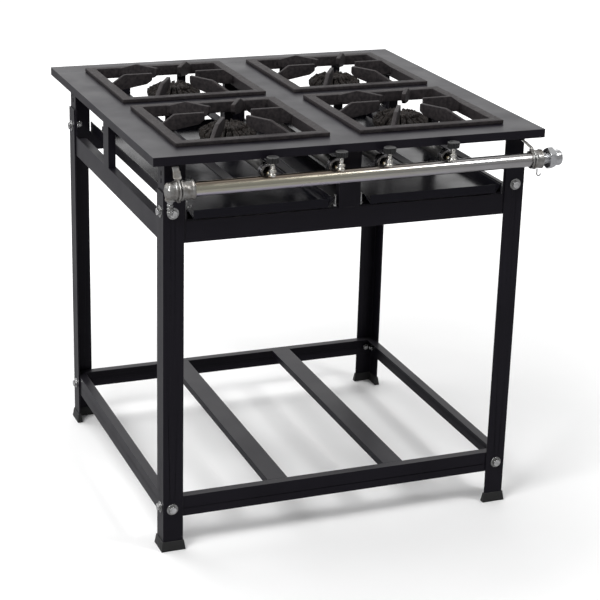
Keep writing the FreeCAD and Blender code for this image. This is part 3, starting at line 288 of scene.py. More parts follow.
def sum_of(tree, kind, first, second, clamp=False):
    """The output of a Math node over two values or sockets."""
    return add(tree, "Math", {0: first, 1: second}, operation=kind, use_clamp=clamp).outputs[0]


def new_effect(name, inputs, outputs):
    """A node group with number inputs {name: value} and outputs {name: socket type}."""
    tree = bpy.data.node_groups.new(name, "ShaderNodeTree")
    for label, value in inputs.items():
        socket = tree.interface.new_socket(name=label, in_out="INPUT", socket_type="NodeSocketFloat")
        socket.default_value = value
    for label, kind in outputs.items():
        tree.interface.new_socket(name=label, in_out="OUTPUT", socket_type="NodeSocket" + kind)
    given = tree.nodes.new("NodeGroupInput").outputs
    result = tree.nodes.new("NodeGroupOutput").inputs
    return tree, given, result


def use(tree, effect, **inputs):
    """Places an effect in a material and returns its outputs."""
    made = tree.nodes.new("ShaderNodeGroup")
    made.node_tree = effect
    for name, value in inputs.items():
        made.inputs[name].default_value = value
    return made.outputs


# %% Edge rub: where paint thins over an edge
edge_rub, given, result = new_effect("edge_rub", {"Reach": 0.0015, "Patches": 60.0, "Strength": 1.0},
                                     {"Mask": "Float"})
softened = add(edge_rub, "Bevel", {"Radius": given["Reach"]}, samples=4)
facing = add(edge_rub, "NewGeometry")
agreement = add(edge_rub, "VectorMath", {0: softened.outputs[0], 1: facing.outputs["Normal"]},
                operation="DOT_PRODUCT").outputs["Value"]
turned_away = sum_of(edge_rub, "MULTIPLY", sum_of(edge_rub, "SUBTRACT", 1.0, agreement), 5.0, clamp=True)
place_in_space = add(edge_rub, "TexCoord").outputs["Object"]
patches = add(edge_rub, "TexNoise", {"Vector": place_in_space, "Scale": given["Patches"], "Detail": 3.0})
uneven = add(edge_rub, "MapRange", {"Value": patches.outputs[0], "From Min": 0.35, "From Max": 0.65})
rubbed = sum_of(edge_rub, "MULTIPLY", turned_away, uneven.outputs[0])
edge_rub.links.new(sum_of(edge_rub, "MULTIPLY", rubbed, given["Strength"], clamp=True), result["Mask"])

# %% Cast skin: the sand's grain, with larger lumps and pits
cast_skin, given, result = new_effect("cast_skin", {"Grain": 900.0, "Lumps": 160.0, "Pits": 260.0},
                                      {"Height": "Float", "Tone": "Float"})
place_in_space = add(cast_skin, "TexCoord").outputs["Object"]
grain = add(cast_skin, "TexNoise", {"Vector": place_in_space, "Scale": given["Grain"], "Detail": 4.0})
lumps = add(cast_skin, "TexNoise", {"Vector": place_in_space, "Scale": given["Lumps"], "Detail": 2.0})
pits = add(cast_skin, "TexVoronoi", {"Vector": place_in_space, "Scale": given["Pits"]})
hollow = add(cast_skin, "MapRange", {"Value": pits.outputs["Distance"], "From Min": 0.0, "From Max": 0.35})
sandy = sum_of(cast_skin, "MULTIPLY", grain.outputs[0], 0.45)
lumpy = sum_of(cast_skin, "MULTIPLY_ADD", lumps.outputs[0], 0.4)
cast_skin.links.new(sandy, lumpy.node.inputs[2])
pitted = sum_of(cast_skin, "MULTIPLY_ADD", hollow.outputs[0], 0.15)
cast_skin.links.new(lumpy, pitted.node.inputs[2])
cast_skin.links.new(pitted, result["Height"])
cast_skin.links.new(lumps.outputs[0], result["Tone"])

# %% Settled dust: thin, patchy, and only on faces that look up
settled_dust, given, result = new_effect("settled_dust", {"Patches": 18.0, "Amount": 0.3}, {"Mask": "Float"})
facing = add(settled_dust, "SeparateXYZ", {0: add(settled_dust, "NewGeometry").outputs["Normal"]})
upward = add(settled_dust, "MapRange", {"Value": facing.outputs["Z"], "From Min": 0.4, "From Max": 1.0})
place_in_space = add(settled_dust, "TexCoord").outputs["Object"]
clouds = add(settled_dust, "TexNoise", {"Vector": place_in_space, "Scale": given["Patches"], "Detail": 5.0})
cloudy = add(settled_dust, "MapRange", {"Value": clouds.outputs[0], "From Min": 0.38, "From Max": 0.7})
veil = sum_of(settled_dust, "MULTIPLY", upward.outputs[0], cloudy.outputs[0])
settled_dust.links.new(sum_of(settled_dust, "MULTIPLY", veil, given["Amount"], clamp=True), result["Mask"])

# %% Fine lines: rolled or drawn metal, with lines along X
drawn_lines, given, result = new_effect("drawn_lines", {"Lines": 900.0, "Run": 6.0},
                                        {"Height": "Float", "Streaks": "Float"})
place_in_space = add(drawn_lines, "TexCoord").outputs["Object"]
stretch = add(drawn_lines, "CombineXYZ", {"X": given["Run"], "Y": given["Lines"], "Z": given["Lines"]})
stretched = add(drawn_lines, "VectorMath", {0: place_in_space, 1: stretch.outputs[0]}, operation="MULTIPLY")
lines = add(drawn_lines, "TexNoise", {"Vector": stretched.outputs[0], "Scale": 1.0, "Detail": 3.0})
broad = add(drawn_lines, "VectorMath", {0: stretched.outputs[0], 1: (0.4, 0.12, 0.12)}, operation="MULTIPLY")
streaks = add(drawn_lines, "TexNoise", {"Vector": broad.outputs[0], "Scale": 1.0, "Detail": 2.0})
drawn_lines.links.new(lines.outputs[0], result["Height"])
drawn_lines.links.new(streaks.outputs[0], result["Streaks"])
print("effects:", [group.name for group in bpy.data.node_groups])

# %% [markdown]
# ## Finishes
#
# Each finish starts from Blender's Principled shader. Paint and plastic are black with a weak
# mirror, so they look grey only where they are seen at a low angle. Plated metals are fully
# metallic, and their colour is the colour of what they mirror. The burners' mixing tubes are
# painted iron behind and bare metal in front.

# %% Start and mix a finish
def new_finish(name, roughness, metallic=0.0, mirror=0.5, coat=0.0):
    """A material with a Principled shader. mirror is the strength of a non-metal's reflection."""
    made = bpy.data.materials.new(name)
    made.use_nodes = True
    shader = made.node_tree.nodes["Principled BSDF"]
    shader.inputs["Roughness"].default_value = roughness
    shader.inputs["Metallic"].default_value = metallic
    shader.inputs["Specular IOR Level"].default_value = mirror
    shader.inputs["Coat Weight"].default_value = coat
    return made, made.node_tree, shader


def mix_colours(tree, mask, first, second):
    """The first colour where the mask is 0, the second where it is 1."""
    mixed = add(tree, "Mix", {"Factor": mask}, data_type="RGBA")
    for place, colour in ((6, first), (7, second)):
        if isinstance(colour, bpy.types.NodeSocket):
            tree.links.new(colour, mixed.inputs[place])
        else:
            mixed.inputs[place].default_value = (*colour, 1)
    return mixed.outputs[2]


def between(tree, value, low, high, start=0.3, end=0.7):
    """A value that goes from low to high while the given one goes from start to end."""
    return add(tree, "MapRange", {"Value": value, "From Min": start, "From Max": end,
                                  "To Min": low, "To Max": high}).outputs[0]


def blotches(tree, scale, detail=3.0):
    """Slow noise over the piece, scale patches to the metre."""
    spot = add(tree, "TexCoord").outputs["Object"]
    return add(tree, "TexNoise", {"Vector": spot, "Scale": scale, "Detail": detail}).outputs[0]


def raise_surface(tree, shader, height, strength, distance):
    """Turns a height into bumps on the shader's normal. distance is in metres."""
    bump = add(tree, "Bump", {"Height": height, "Strength": strength, "Distance": distance})
    tree.links.new(bump.outputs[0], shader.inputs["Normal"])


# %% Black powder coat, on every plate and angle
def powder_coat(name, paint, worn, roughness, mirror, peel):
    """Satin paint: slow blotches in its gloss, a fine orange peel, rubbed edges and thin dust."""
    made, tree, shader = new_finish(name, roughness, mirror=mirror)
    slow = blotches(tree, 9.0, 4.0)
    rub = use(tree, edge_rub, Reach=0.0012, Patches=45.0, Strength=0.75)["Mask"]
    dust = use(tree, settled_dust, Patches=14.0, Amount=0.22)["Mask"]
    tinted = mix_colours(tree, between(tree, slow, 0, 1), paint, [value * 1.35 for value in paint])
    edged = mix_colours(tree, rub, tinted, worn)
    tree.links.new(mix_colours(tree, dust, edged, (0.075, 0.072, 0.075)), shader.inputs["Base Color"])
    gloss = between(tree, slow, roughness - 0.04, roughness + 0.05)
    dull = sum_of(tree, "MULTIPLY_ADD", dust, 0.4)
    tree.links.new(gloss, dull.node.inputs[2])
    tree.links.new(dull, shader.inputs["Roughness"])
    shader.inputs["Specular Tint"].default_value = (0.98, 0.94, 1.0, 1)
    raise_surface(tree, shader, blotches(tree, peel), 0.1, 0.0003)
    return made


black_coat = powder_coat("black_powder_coat", (0.0072, 0.0065, 0.0096), (0.07, 0.068, 0.07), 0.34, 0.165, 700)
tray_coat = powder_coat("glossy_black_coat", (0.0055, 0.0053, 0.009), (0.05, 0.05, 0.055), 0.16, 0.17, 160)


# %% Black castings: grates, burner bowls and crowns
def casting(name, dark, light, roughness, grain, strength, mirror=0.3):
    """Painted iron from a sand mould: lumps change its tone, and grain and pits roughen it."""
    made, tree, shader = new_finish(name, roughness, mirror=mirror)
    skin = use(tree, cast_skin, Grain=grain, Lumps=grain / 5, Pits=grain / 3)
    rub = use(tree, edge_rub, Reach=0.0018, Patches=90.0, Strength=0.7)["Mask"]
    dust = use(tree, settled_dust, Patches=40.0, Amount=0.3)["Mask"]
    toned = mix_colours(tree, between(tree, skin["Tone"], 0, 1), dark, light)
    edged = mix_colours(tree, rub, toned, [value * 2.6 for value in light])
    tree.links.new(mix_colours(tree, dust, edged, (0.07, 0.062, 0.06)), shader.inputs["Base Color"])
    tree.links.new(between(tree, skin["Tone"], roughness - 0.08, roughness + 0.1), shader.inputs["Roughness"])
    raise_surface(tree, shader, skin["Height"], strength, 0.0012)
    return made


grate_iron = casting("grate_iron", (0.02, 0.018, 0.0195), (0.04, 0.035, 0.036), 0.5, 700, 0.55, 0.06)
bowl_iron = casting("bowl_iron", (0.01, 0.0095, 0.01), (0.022, 0.02, 0.02), 0.5, 800, 0.6, 0.3)
crown_iron = casting("crown_iron", (0.007, 0.0062, 0.006), (0.027, 0.022, 0.0195), 0.6, 900, 0.9, 0.16)


def bare_front(made, start, length, metal):
    """Lets a casting's paint give way to bare metal in front of y = start, over length metres."""
    tree, shader = made.node_tree, made.node_tree.nodes["Principled BSDF"]
    spot = add(tree, "SeparateXYZ", {0: add(tree, "TexCoord").outputs["Object"]})
    ragged = sum_of(tree, "MULTIPLY_ADD", blotches(tree, 120.0), length)
    tree.links.new(spot.outputs["Y"], ragged.node.inputs[2])
    bare = between(tree, ragged, 1, 0, start, start + length)
    painted = shader.inputs["Base Color"].links[0].from_socket
    tree.links.new(mix_colours(tree, bare, painted, metal), shader.inputs["Base Color"])
    tree.links.new(between(tree, bare, 0, 0.85, 0, 1), shader.inputs["Metallic"])


bare_front(bowl_iron, -0.24, 0.02, (0.22, 0.215, 0.21))


# %% Zinc plate, on the pipe, its fittings and the fasteners
def zinc_plate(name, bright, tarnished, roughness, scale, lines=None, grain=None):
    """Plated steel: clouds of tarnish over bright metal, with drawn lines or a cast grain."""
    made, tree, shader = new_finish(name, roughness, metallic=1.0)
    cloud = between(tree, blotches(tree, scale, 4.0), 0, 1, 0.35, 0.68)
    colour = mix_colours(tree, cloud, bright, tarnished)
    rough = between(tree, cloud, roughness - 0.06, roughness + 0.1, 0, 1)
    if lines:
        drawn = use(tree, drawn_lines, Lines=lines, Run=5.0)
        colour = mix_colours(tree, between(tree, drawn["Streaks"], 0, 0.45), colour,
                             [value * 0.45 for value in bright])
        raise_surface(tree, shader, drawn["Height"], 0.15, 0.0002)
    if grain:
        skin = use(tree, cast_skin, Grain=grain, Lumps=grain / 4, Pits=grain / 2)
        raise_surface(tree, shader, skin["Height"], 0.45, 0.0006)
    tree.links.new(colour, shader.inputs["Base Color"])
    tree.links.new(rough, shader.inputs["Roughness"])
    return made


pipe_zinc = zinc_plate("pipe_zinc", (0.58, 0.575, 0.585), (0.44, 0.42, 0.41), 0.2, 9.0, lines=500.0)
fitting_zinc = zinc_plate("fitting_zinc", (0.4, 0.4, 0.39), (0.21, 0.19, 0.17), 0.38, 60.0, grain=1300.0)
fastener_zinc = zinc_plate("fastener_zinc", (0.42, 0.42, 0.42), (0.22, 0.22, 0.21), 0.24, 120.0, grain=2400.0)
shutter_zinc = zinc_plate("shutter_zinc", (0.4, 0.4, 0.42), (0.2, 0.19, 0.2), 0.25, 80.0, grain=1800.0)
valve_nickel = zinc_plate("valve_nickel", (0.86, 0.85, 0.81), (0.62, 0.6, 0.54), 0.14, 90.0, grain=2600.0)
cap_nickel = zinc_plate("cap_nickel", (0.72, 0.73, 0.74), (0.42, 0.42, 0.43), 0.12, 50.0, grain=2000.0)
bolt_zinc = zinc_plate("bolt_zinc", (0.8, 0.8, 0.8), (0.5, 0.5, 0.49), 0.14, 120.0, grain=2400.0)
jet_brass = zinc_plate("jet_brass", (0.42, 0.36, 0.24), (0.26, 0.21, 0.13), 0.25, 90.0, grain=2600.0)


def painted_reflection_bands(made, upper, middle, under):
    """Paints reflected bands on a plated pipe by the way it faces, stronger towards its left end: a painted
    dark reflection on top, a middle band, and a painted light reflection underneath.
    """
    tree, shader = made.node_tree, made.node_tree.nodes["Principled BSDF"]
    spot = add(tree, "SeparateXYZ", {0: add(tree, "TexCoord").outputs["Object"]})
    facing_up = add(tree, "SeparateXYZ", {0: add(tree, "NewGeometry").outputs["Normal"]}).outputs["Z"]
    low_side = mix_colours(tree, between(tree, facing_up, 0, 1, -0.5, -0.2), under, middle)
    tint = mix_colours(tree, between(tree, facing_up, 0, 1, 0.45, 0.8), low_side, upper)
    plated = shader.inputs["Base Color"].links[0].from_socket
    left = between(tree, spot.outputs["X"], 0.9, 0.0, -0.1, 0.22)
    tree.links.new(mix_colours(tree, left, plated, tint), shader.inputs["Base Color"])


# Painted reflections on the pipe: dark brown on its top, olive in the middle and a lavender light band
# underneath, mostly on its left half.
painted_reflection_bands(pipe_zinc, (0.3, 0.24, 0.18), (0.5, 0.48, 0.38), (0.66, 0.62, 0.72))


# %% Black plastic, on the knobs and the shoes
def moulded_plastic(name, colour, scuffed, roughness, grain):
    """Moulded plastic: a fine matt grain, scuffed edges and a little dust."""
    made, tree, shader = new_finish(name, roughness, mirror=0.45)
    rub = use(tree, edge_rub, Reach=0.0008, Patches=140.0, Strength=0.8)["Mask"]
    dust = use(tree, settled_dust, Patches=60.0, Amount=0.3)["Mask"]
    edged = mix_colours(tree, rub, colour, scuffed)
    tree.links.new(mix_colours(tree, dust, edged, (0.08, 0.078, 0.075)), shader.inputs["Base Color"])
    slow = blotches(tree, 80.0)
    tree.links.new(between(tree, slow, roughness - 0.06, roughness + 0.08), shader.inputs["Roughness"])
    raise_surface(tree, shader, blotches(tree, grain), 0.2, 0.0003)
    return made


knob_plastic = moulded_plastic("knob_bakelite", (0.012, 0.012, 0.0125), (0.06, 0.058, 0.055), 0.32, 1500)
shoe_plastic = moulded_plastic("shoe_plastic", (0.014, 0.014, 0.014), (0.05, 0.05, 0.05), 0.5, 900)

# %% Put the finishes on the CAD nodes
FINISH_OF_SLOT = {
    "black_paint": black_coat, "tray_paint": tray_coat, "grate_iron": grate_iron,
    "burner_iron": bowl_iron, "crown_iron": crown_iron, "zinc_pipe": pipe_zinc,
    "zinc_fitting": fitting_zinc, "zinc_fastener": fastener_zinc, "valve_chrome": valve_nickel,
    "jet_brass": jet_brass, "shutter_metal": shutter_zinc, "knob_plastic": knob_plastic,
    "shoe_plastic": shoe_plastic,
}
for part in frame["record"]["subparts"]:
    node = nodes[part["node"]]
    node.data.materials.clear()
    node.data.materials.append(FINISH_OF_SLOT[part["material_slot"]])
print("finishes:", sorted(material.name for material in FINISH_OF_SLOT.values()))

# %% Soft edges on folded sheet and rolled angle
SHEET_NAMES = ("table_", "leg_front", "leg_rear", "frame_rail", "shelf_", "drip_tray", "tray_guides",
               "center_", "side_strut", "corner_posts", "leg_shoes", "burner_straps")
SHEETS = [name for name in nodes if name.startswith(SHEET_NAMES)]


def soften_edges(piece, radius):
    """Welds a mesh's seams and bevels its sharp edges, so that they catch a thin line of light."""
    weld = piece.modifiers.new("weld", "WELD")
    weld.merge_threshold = 0.00002
    bevel = piece.modifiers.new("bevel", "BEVEL")
    bevel.width, bevel.segments, bevel.limit_method = radius, 2, "ANGLE"
    bevel.angle_limit = math.radians(40)
    bevel.harden_normals = False


for name in SHEETS:
    soften_edges(nodes[name], 0.0006)
print("softened:", len(SHEETS), "nodes")

# %% [markdown]
# ## Cast grates
#
# A grate is cast iron: a square frame with a rim below it, and six fingers that reach in and
# carry the pan. A drawing leaves its edges knife-sharp, but sand rounds every one of them. The
# frame is a rounded section carried round a square, and each finger is an outline that steps
# in and out across its thickness, like a pebble-edged tile.

# %% The square frame of a grate
BURNERS = ("front_left", "rear_left", "rear_right", "front_right")
GRATE_SECTION = [(130, -14), (138, -14), (138, 0), (150, 0), (150, 7.5), (130, 7.5)]
CASTING_EDGE = 1.4


def square_ring(section, corner, side_steps=14, corner_steps=4):
    """A closed section carried round a square.

    A section point d from the middle goes to d*A + B: A = (1, s) and B = 0 along a side, with s
    from -1 to 1, and A = (1, 1), B = corner * (cos p - 1, sin p - 1) round a corner.
    """
    s = np.linspace(-0.93, 0.93, side_steps)
    p = np.linspace(0, np.pi / 2, corner_steps)
    along = np.column_stack([np.ones_like(s), s])
    round_corner = corner * np.column_stack([np.cos(p) - 1, np.sin(p) - 1])
    scale = np.vstack([along, np.ones((corner_steps, 2))])
    shift = np.vstack([np.zeros((side_steps, 2)), round_corner])
    quarter = np.array([[0, 1], [-1, 0]])
    turns = [np.linalg.matrix_power(quarter, k) for k in range(4)]
    scale, shift = (np.vstack([part @ turned_by for turned_by in turns]) for part in (scale, shift))
    flat = section[:, None, :1] * scale[None] + shift[None]
    height = np.broadcast_to(section[:, None, 1:], (*flat.shape[:2], 1))
    points = np.concatenate([flat, height], axis=-1).reshape(-1, 3)
    return points, grid_faces(len(section), len(scale), close_rows=True)


ring_points, ring_faces = square_ring(rounded(GRATE_SECTION, CASTING_EDGE, 3, closed=True), 2.5)
print("grate frame points:", len(ring_points))


# %% The fingers of a grate
def finger_outline(root, inner):
    """A finger from the side: level on top, cut away below, with (distance from middle, height)."""
    return [(root, 7.5), (inner, 7.5), (107, 23), (47, 23), (47, 8.5), (58, 0.8), (113.2, -8.5), (root, -8.5)]


def pebble(outline, half, edge, steps=4):
    """A flat blade with rounded edges.

    Layer p of the outline lies at half - edge + edge * sin p across the blade and is drawn in
    by edge * (1 - cos p) along the outline's own inward direction.
    """
    after, before = np.roll(outline, -1, axis=0), np.roll(outline, 1, axis=0)
    tangent = after - before
    tangent /= np.linalg.norm(tangent, axis=1, keepdims=True)
    area = np.sum(outline[:, 0] * after[:, 1] - after[:, 0] * outline[:, 1])
    inward = np.column_stack([-tangent[:, 1], tangent[:, 0]]) * np.sign(area)
    p = np.linspace(0, np.pi / 2, steps)
    across = np.concatenate([-(half - edge + edge * np.sin(p))[::-1], half - edge + edge * np.sin(p)])
    drawn_in = np.concatenate([edge * (1 - np.cos(p))[::-1], edge * (1 - np.cos(p))])
    flat = outline[None] + inward[None] * drawn_in[:, None, None]
    middle = np.broadcast_to(across[:, None, None], (*flat.shape[:2], 1))
    points = np.concatenate([flat[..., :1], middle, flat[..., 1:]], axis=-1)
    rows, columns = points.shape[:2]
    last = (rows - 1) * columns
    caps = [list(range(columns)), list(range(last, last + columns))]
    return points.reshape(-1, 3), [*grid_faces(rows, columns).tolist(), *caps]


def turned_flat(points, degrees):
    """The points turned about Z: (x cos a - y sin a, x sin a + y cos a, z)."""
    cosine, sine = math.cos(math.radians(degrees)), math.sin(math.radians(degrees))
    spin = np.array([[cosine, sine, 0], [-sine, cosine, 0], [0, 0, 1]])
    return points @ spin


finger_shells = []
for angle in range(0, 360, 60):
    reach = 1 if angle % 180 == 0 else 1 / math.sin(math.radians(60))
    outline = rounded(finger_outline(134 * reach, 130 * reach), 2.2, 3, closed=True)
    blade, blade_faces = pebble(outline, 4.0, CASTING_EDGE)
    finger_shells.append((turned_flat(blade, angle), blade_faces))
print("fingers:", len(finger_shells))

# %% Four grates, each cast a little differently
for burner in BURNERS:
    node_name = "grate_" + burner
    low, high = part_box(node_name)
    middle = np.array([(low.x + high.x) / 2, (low.y + high.y) / 2, high.z - 23 * MM]) / MM
    shells = []
    for points, faces in [(ring_points, ring_faces), *finger_shells]:
        placed = points + middle
        sway = np.column_stack([unevenness(placed, 70), unevenness(placed + 500, 70),
                                0.4 * unevenness(placed + 900, 90)])
        shells.append((placed + 0.22 * sway, faces))
    make_piece("cast_" + node_name, shells, grate_iron, node_name, node_name, 40)

# %% [markdown]
# ## Burner crowns
#
# A crown is a heavy ring of iron teeth: gas burns in the slots between them, in an outer and an
# inner tier. The teeth are lumpy from the sand and uneven in height, and the outer ones carry a
# notch. The surface goes round the profile and round the axis, and at each slot the height drops
# to the slot's floor, so every slot is open outwards.

# %% The teeth of a crown
CROWN_SLOTS, SLOT_HALF, SLOT_FLOOR, SLOT_START = 22, 1.9, 3.2, 21.0
OUTER_TIER, NOTCH_PLACE, NOTCH_WIDTH, NOTCH_DEPTH = 37, 0.52, 0.1, 1.5
CROWN_PROFILE = [(0, -8), (41.7, -8), (41.7, 0), (54.6, 0), (54.9, 3.0), (54.6, 9.0), (49, 13.2), (43, 16.6),
                 (38.9, 18.6), (38.2, 14.2), (35.6, 14.2), (34.9, 21.2), (30, 22.2), (24, 22.4), (17, 21.8),
                 (12, 17.6), (0, 17.2)]


def fine(profile, step):
    """A polyline with extra points, so that no run is longer than step."""
    runs = [np.linspace(a, b, max(2, int(np.ceil(np.linalg.norm(np.subtract(b, a)) / step)) + 1))[:-1]
            for a, b in zip(profile[:-1], profile[1:])]
    return np.vstack([*runs, profile[-1:]])


def toothed_crown(shift):
    """A crown with open slots.

    Round the axis, a slot's points lie at asin(u w / r) from its middle, for u from -1 to 1, so
    a slot keeps its width w at every radius. Its height is min(z, floor), and a tooth's top is
    domed by sin, notched in its middle, of uneven height, and lumpy by the unevenness of the place.
    """
    rng = np.random.default_rng(int(shift) + 5)
    profile = fine(rounded(CROWN_PROFILE, 1.1, 2), 2.0)
    radius, height = profile[:, :1], profile[:, 1:]
    u = np.array([-1, -0.8, 0, 0.8, 1])
    v = np.linspace(0, 1, 9)[1:-1]
    pitch = 2 * np.pi / CROWN_SLOTS
    edge = np.arcsin(np.clip(SLOT_HALF / np.maximum(radius, SLOT_START - 3), 0, 0.9))
    period = np.hstack([edge * u, edge + (pitch - 2 * edge) * v])
    in_slot = np.hstack([[0, 1, 1, 1, 0], np.zeros(len(v))])
    dome = np.hstack([np.zeros(5), np.sin(np.pi * v)])
    starts = np.arange(CROWN_SLOTS) * pitch
    angle = (starts[None, :, None] + period[:, None, :]).reshape(len(profile), -1)
    slot = np.tile(in_slot, CROWN_SLOTS)[None]
    dome = np.tile(dome, CROWN_SLOTS)[None]
    open_here = np.clip((radius - SLOT_START) / 3, 0, 1) * slot
    upper = height > SLOT_FLOOR
    z = np.where(upper, height - open_here * (height - SLOT_FLOOR), height)
    tier = np.where(radius > OUTER_TIER, 0, 1)
    taller = rng.uniform(-1, 1, (2, CROWN_SLOTS)).repeat(period.shape[1], axis=1)[tier[:, 0]]
    across = np.tile(np.hstack([np.zeros(5), v]), CROWN_SLOTS)[None]
    notch = NOTCH_DEPTH * np.exp(-((across - NOTCH_PLACE) / NOTCH_WIDTH) ** 2) * (tier == 0)
    z = z + np.where(upper & (radius > SLOT_START), dome * (1.2 + 1.3 * taller) - notch, 0)
    r = np.broadcast_to(radius, z.shape)
    points = np.stack([r * np.cos(angle), r * np.sin(angle), z], axis=-1)
    lump = unevenness(points + shift, 7.5) + 0.9 * unevenness(points + shift + 300, 3.4)
    rough = np.where(upper, 0.95, 0.0) * (1 - 0.7 * slot)
    pole = np.clip(radius / 6, 0, 1)
    points[..., 2] += rough * lump * pole
    swell = 1 + 0.012 * np.where(upper, unevenness(points + shift + 700, 9.0), 0)
    points[..., :2] *= swell[..., None]
    return points.reshape(-1, 3), grid_faces(len(profile), angle.shape[1])


for number, burner in enumerate(BURNERS):
    node_name = "burner_crown_" + burner
    low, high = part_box(node_name)
    seat = np.array([(low.x + high.x) / 2, (low.y + high.y) / 2, low.z + 8 * MM]) / MM
    points, faces = toothed_crown(number * 41.0)
    make_piece("cast_" + node_name, [(points + seat, faces)], crown_iron, node_name, node_name,
               50)

# %% [markdown]
# ## Knobs
#
# The four gas knobs are moulded in black: a drum with rounded ribs for the fingers, a little
# wider at the top, on a thin metal-black spindle. The ribs are one swelling of the radius.

# %% Ribbed knobs on their spindles
KNOB_RIBS, KNOB_COLUMNS = 16, 192
KNOB_PROFILE = [(4.3, 3.9), (4.3, 0), (11.3, 0), (12.2, 9.2), (11.4, 10.7), (9.2, 11), (7.6, 10.5), (0, 10.5)]
SPINDLE_PROFILE = [(0, -9.3), (2, -9.3), (2, 5), (0, 5)]


def ribbed(profile, ribs, columns, depth):
    """The radius factor 1 - depth * |cos(n a / 2)|^6 on the side of a knob, and 1 elsewhere."""
    angle = np.linspace(0, 2 * np.pi, columns, endpoint=False)[None]
    groove = np.abs(np.cos(ribs * angle / 2)) ** 6
    side = (profile[:, :1] > 11) & (profile[:, 1:] < 10)
    return 1 - depth * groove * side


knob_outline = fine(rounded(KNOB_PROFILE, 0.8, 4), 1.5)
knob_shape = turned(knob_outline, KNOB_COLUMNS, ribbed(knob_outline, KNOB_RIBS, KNOB_COLUMNS, 0.11))
knob_roof = turned(np.array([(0, 3.9), (4.3, 3.9)]), KNOB_COLUMNS)
spindle_shape = turned(rounded(SPINDLE_PROFILE, 0.4, 2), 32)
for number in range(1, 5):
    node_name = f"knob_{number}"
    low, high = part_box(node_name)
    base = np.array([(low.x + high.x) / 2, (low.y + high.y) / 2, high.z - 11 * MM]) / MM
    drum = (np.vstack([knob_shape[0], knob_roof[0]]) + base,
            np.vstack([knob_shape[1], knob_roof[1][:, ::-1] + len(knob_shape[0])]))
    make_piece("ribbed_" + node_name, [drum, (spindle_shape[0] + base, spindle_shape[1])],
               knob_plastic, node_name, node_name, 40)

# %% [markdown]
# ## The gas pipe's fittings
#
# The pipe is level in depth but hangs a little lower at its left end, so every fitting is made
# along X first and then laid on the pipe's own line. Castings get bead rims and uneven skins,
# and the hexagons have turned corners, as real ones do.

# %% The pipe's line, and shapes turned round it
low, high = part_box("manifold_pipe")
PIPE_RADIUS = 13.5
pipe_start = np.array([low.x / MM, (low.y + high.y) / 2 / MM, low.z / MM + PIPE_RADIUS])
pipe_end = np.array([high.x / MM, pipe_start[1], high.z / MM - PIPE_RADIUS])
pipe_slope = (pipe_end[2] - pipe_start[2]) / (pipe_end[0] - pipe_start[0])


def laid_on_pipe(points, start):
    """Points (x, y, z) about the pipe's axis, moved to it: z gains slope * x, and x loses slope * z."""
    x, y, z = points.T
    return start + np.column_stack([x - pipe_slope * z, y, z + pipe_slope * x])


def ring(section, columns=64, factor=None):
    """A closed (r, z) section turned about Z into a ring."""
    points, _ = turned(section, columns, factor)
    return points, grid_faces(len(section), columns, close_rows=True)


def six_sided(profile, across, chamfer, columns=96):
    """The radius factor that turns a round of radius 1 into a hexagon with turned corners.

    A hexagon's side is at (across/2) / cos(b), where b is the angle from the middle of a side;
    the turning tool leaves no point beyond the profile's own radius. Rows with chamfer True are hexagonal.
    """
    angle = np.linspace(0, 2 * np.pi, columns, endpoint=False)[None]
    from_middle = (angle + np.pi / 6) % (np.pi / 3) - np.pi / 6
    side = across / 2 / np.cos(from_middle)
    radius = np.maximum(profile[:, :1], 1e-6)
    return np.where(np.asarray(chamfer)[:, None], np.minimum(side, radius) / radius, 1.0)


def cast(points, depth, scale, shift=0.0):
    """Moves each point by smooth random amounts of up to about depth millimetres."""
    sway = [unevenness(points + shift + 100.0 * axis, scale) for axis in range(3)]
    return points + depth * np.column_stack(sway)


print("pipe falls", round(1000 * pipe_slope, 2), "mm to the metre")

# %% Couplings, nipple, cap
COUPLING_SECTION = [(13.6, -13), (16.8, -13), (18.4, -11.8), (18.8, -9.6), (18.0, -7.8), (17.4, -6.4),
                    (17.4, 6.4), (18.0, 7.8), (18.8, 9.6), (18.4, 11.8), (16.8, 13), (13.6, 13)]
RIGHT_SHARE = 0.45  # how much of its outer half the right-hand coupling keeps, so the nipple shows
coupling = ring(fine(rounded(COUPLING_SECTION, 1.0, 3, closed=True), 1.5), 72)
shells = []
for number, spot in enumerate((pipe_start, pipe_end)):
    rough = cast(along_x(coupling[0]), 0.32, 11.0, 57.0 * number)
    if number == 1:
        rough[:, 0] *= np.where(rough[:, 0] > 0, RIGHT_SHARE, 1.0)
    shells.append((laid_on_pipe(rough, spot), coupling[1]))
make_piece("beaded_couplings", shells, fitting_zinc, "stand", "pipe_couplings", 50)

NIPPLE_START, NIPPLE_LENGTH, THREAD_PITCH, NIPPLE_RADIUS = 4.0, 33.0, 2.3, 10.5
z = np.arange(NIPPLE_START, NIPPLE_LENGTH + 0.01, THREAD_PITCH / 6)
crest = NIPPLE_RADIUS - 0.75 + 0.75 * np.abs(np.cos(np.pi * z / THREAD_PITCH))
thread = np.vstack([[(8.0, 0.1), (10.0, 0.1)], np.column_stack([crest, z]), [(8.0, NIPPLE_LENGTH)]])
nipple = ring(thread, 72)
make_piece("threaded_nipple", [(laid_on_pipe(along_x(nipple[0]), pipe_end), nipple[1])],
           cap_nickel, "stand", "end_nipple", 50)

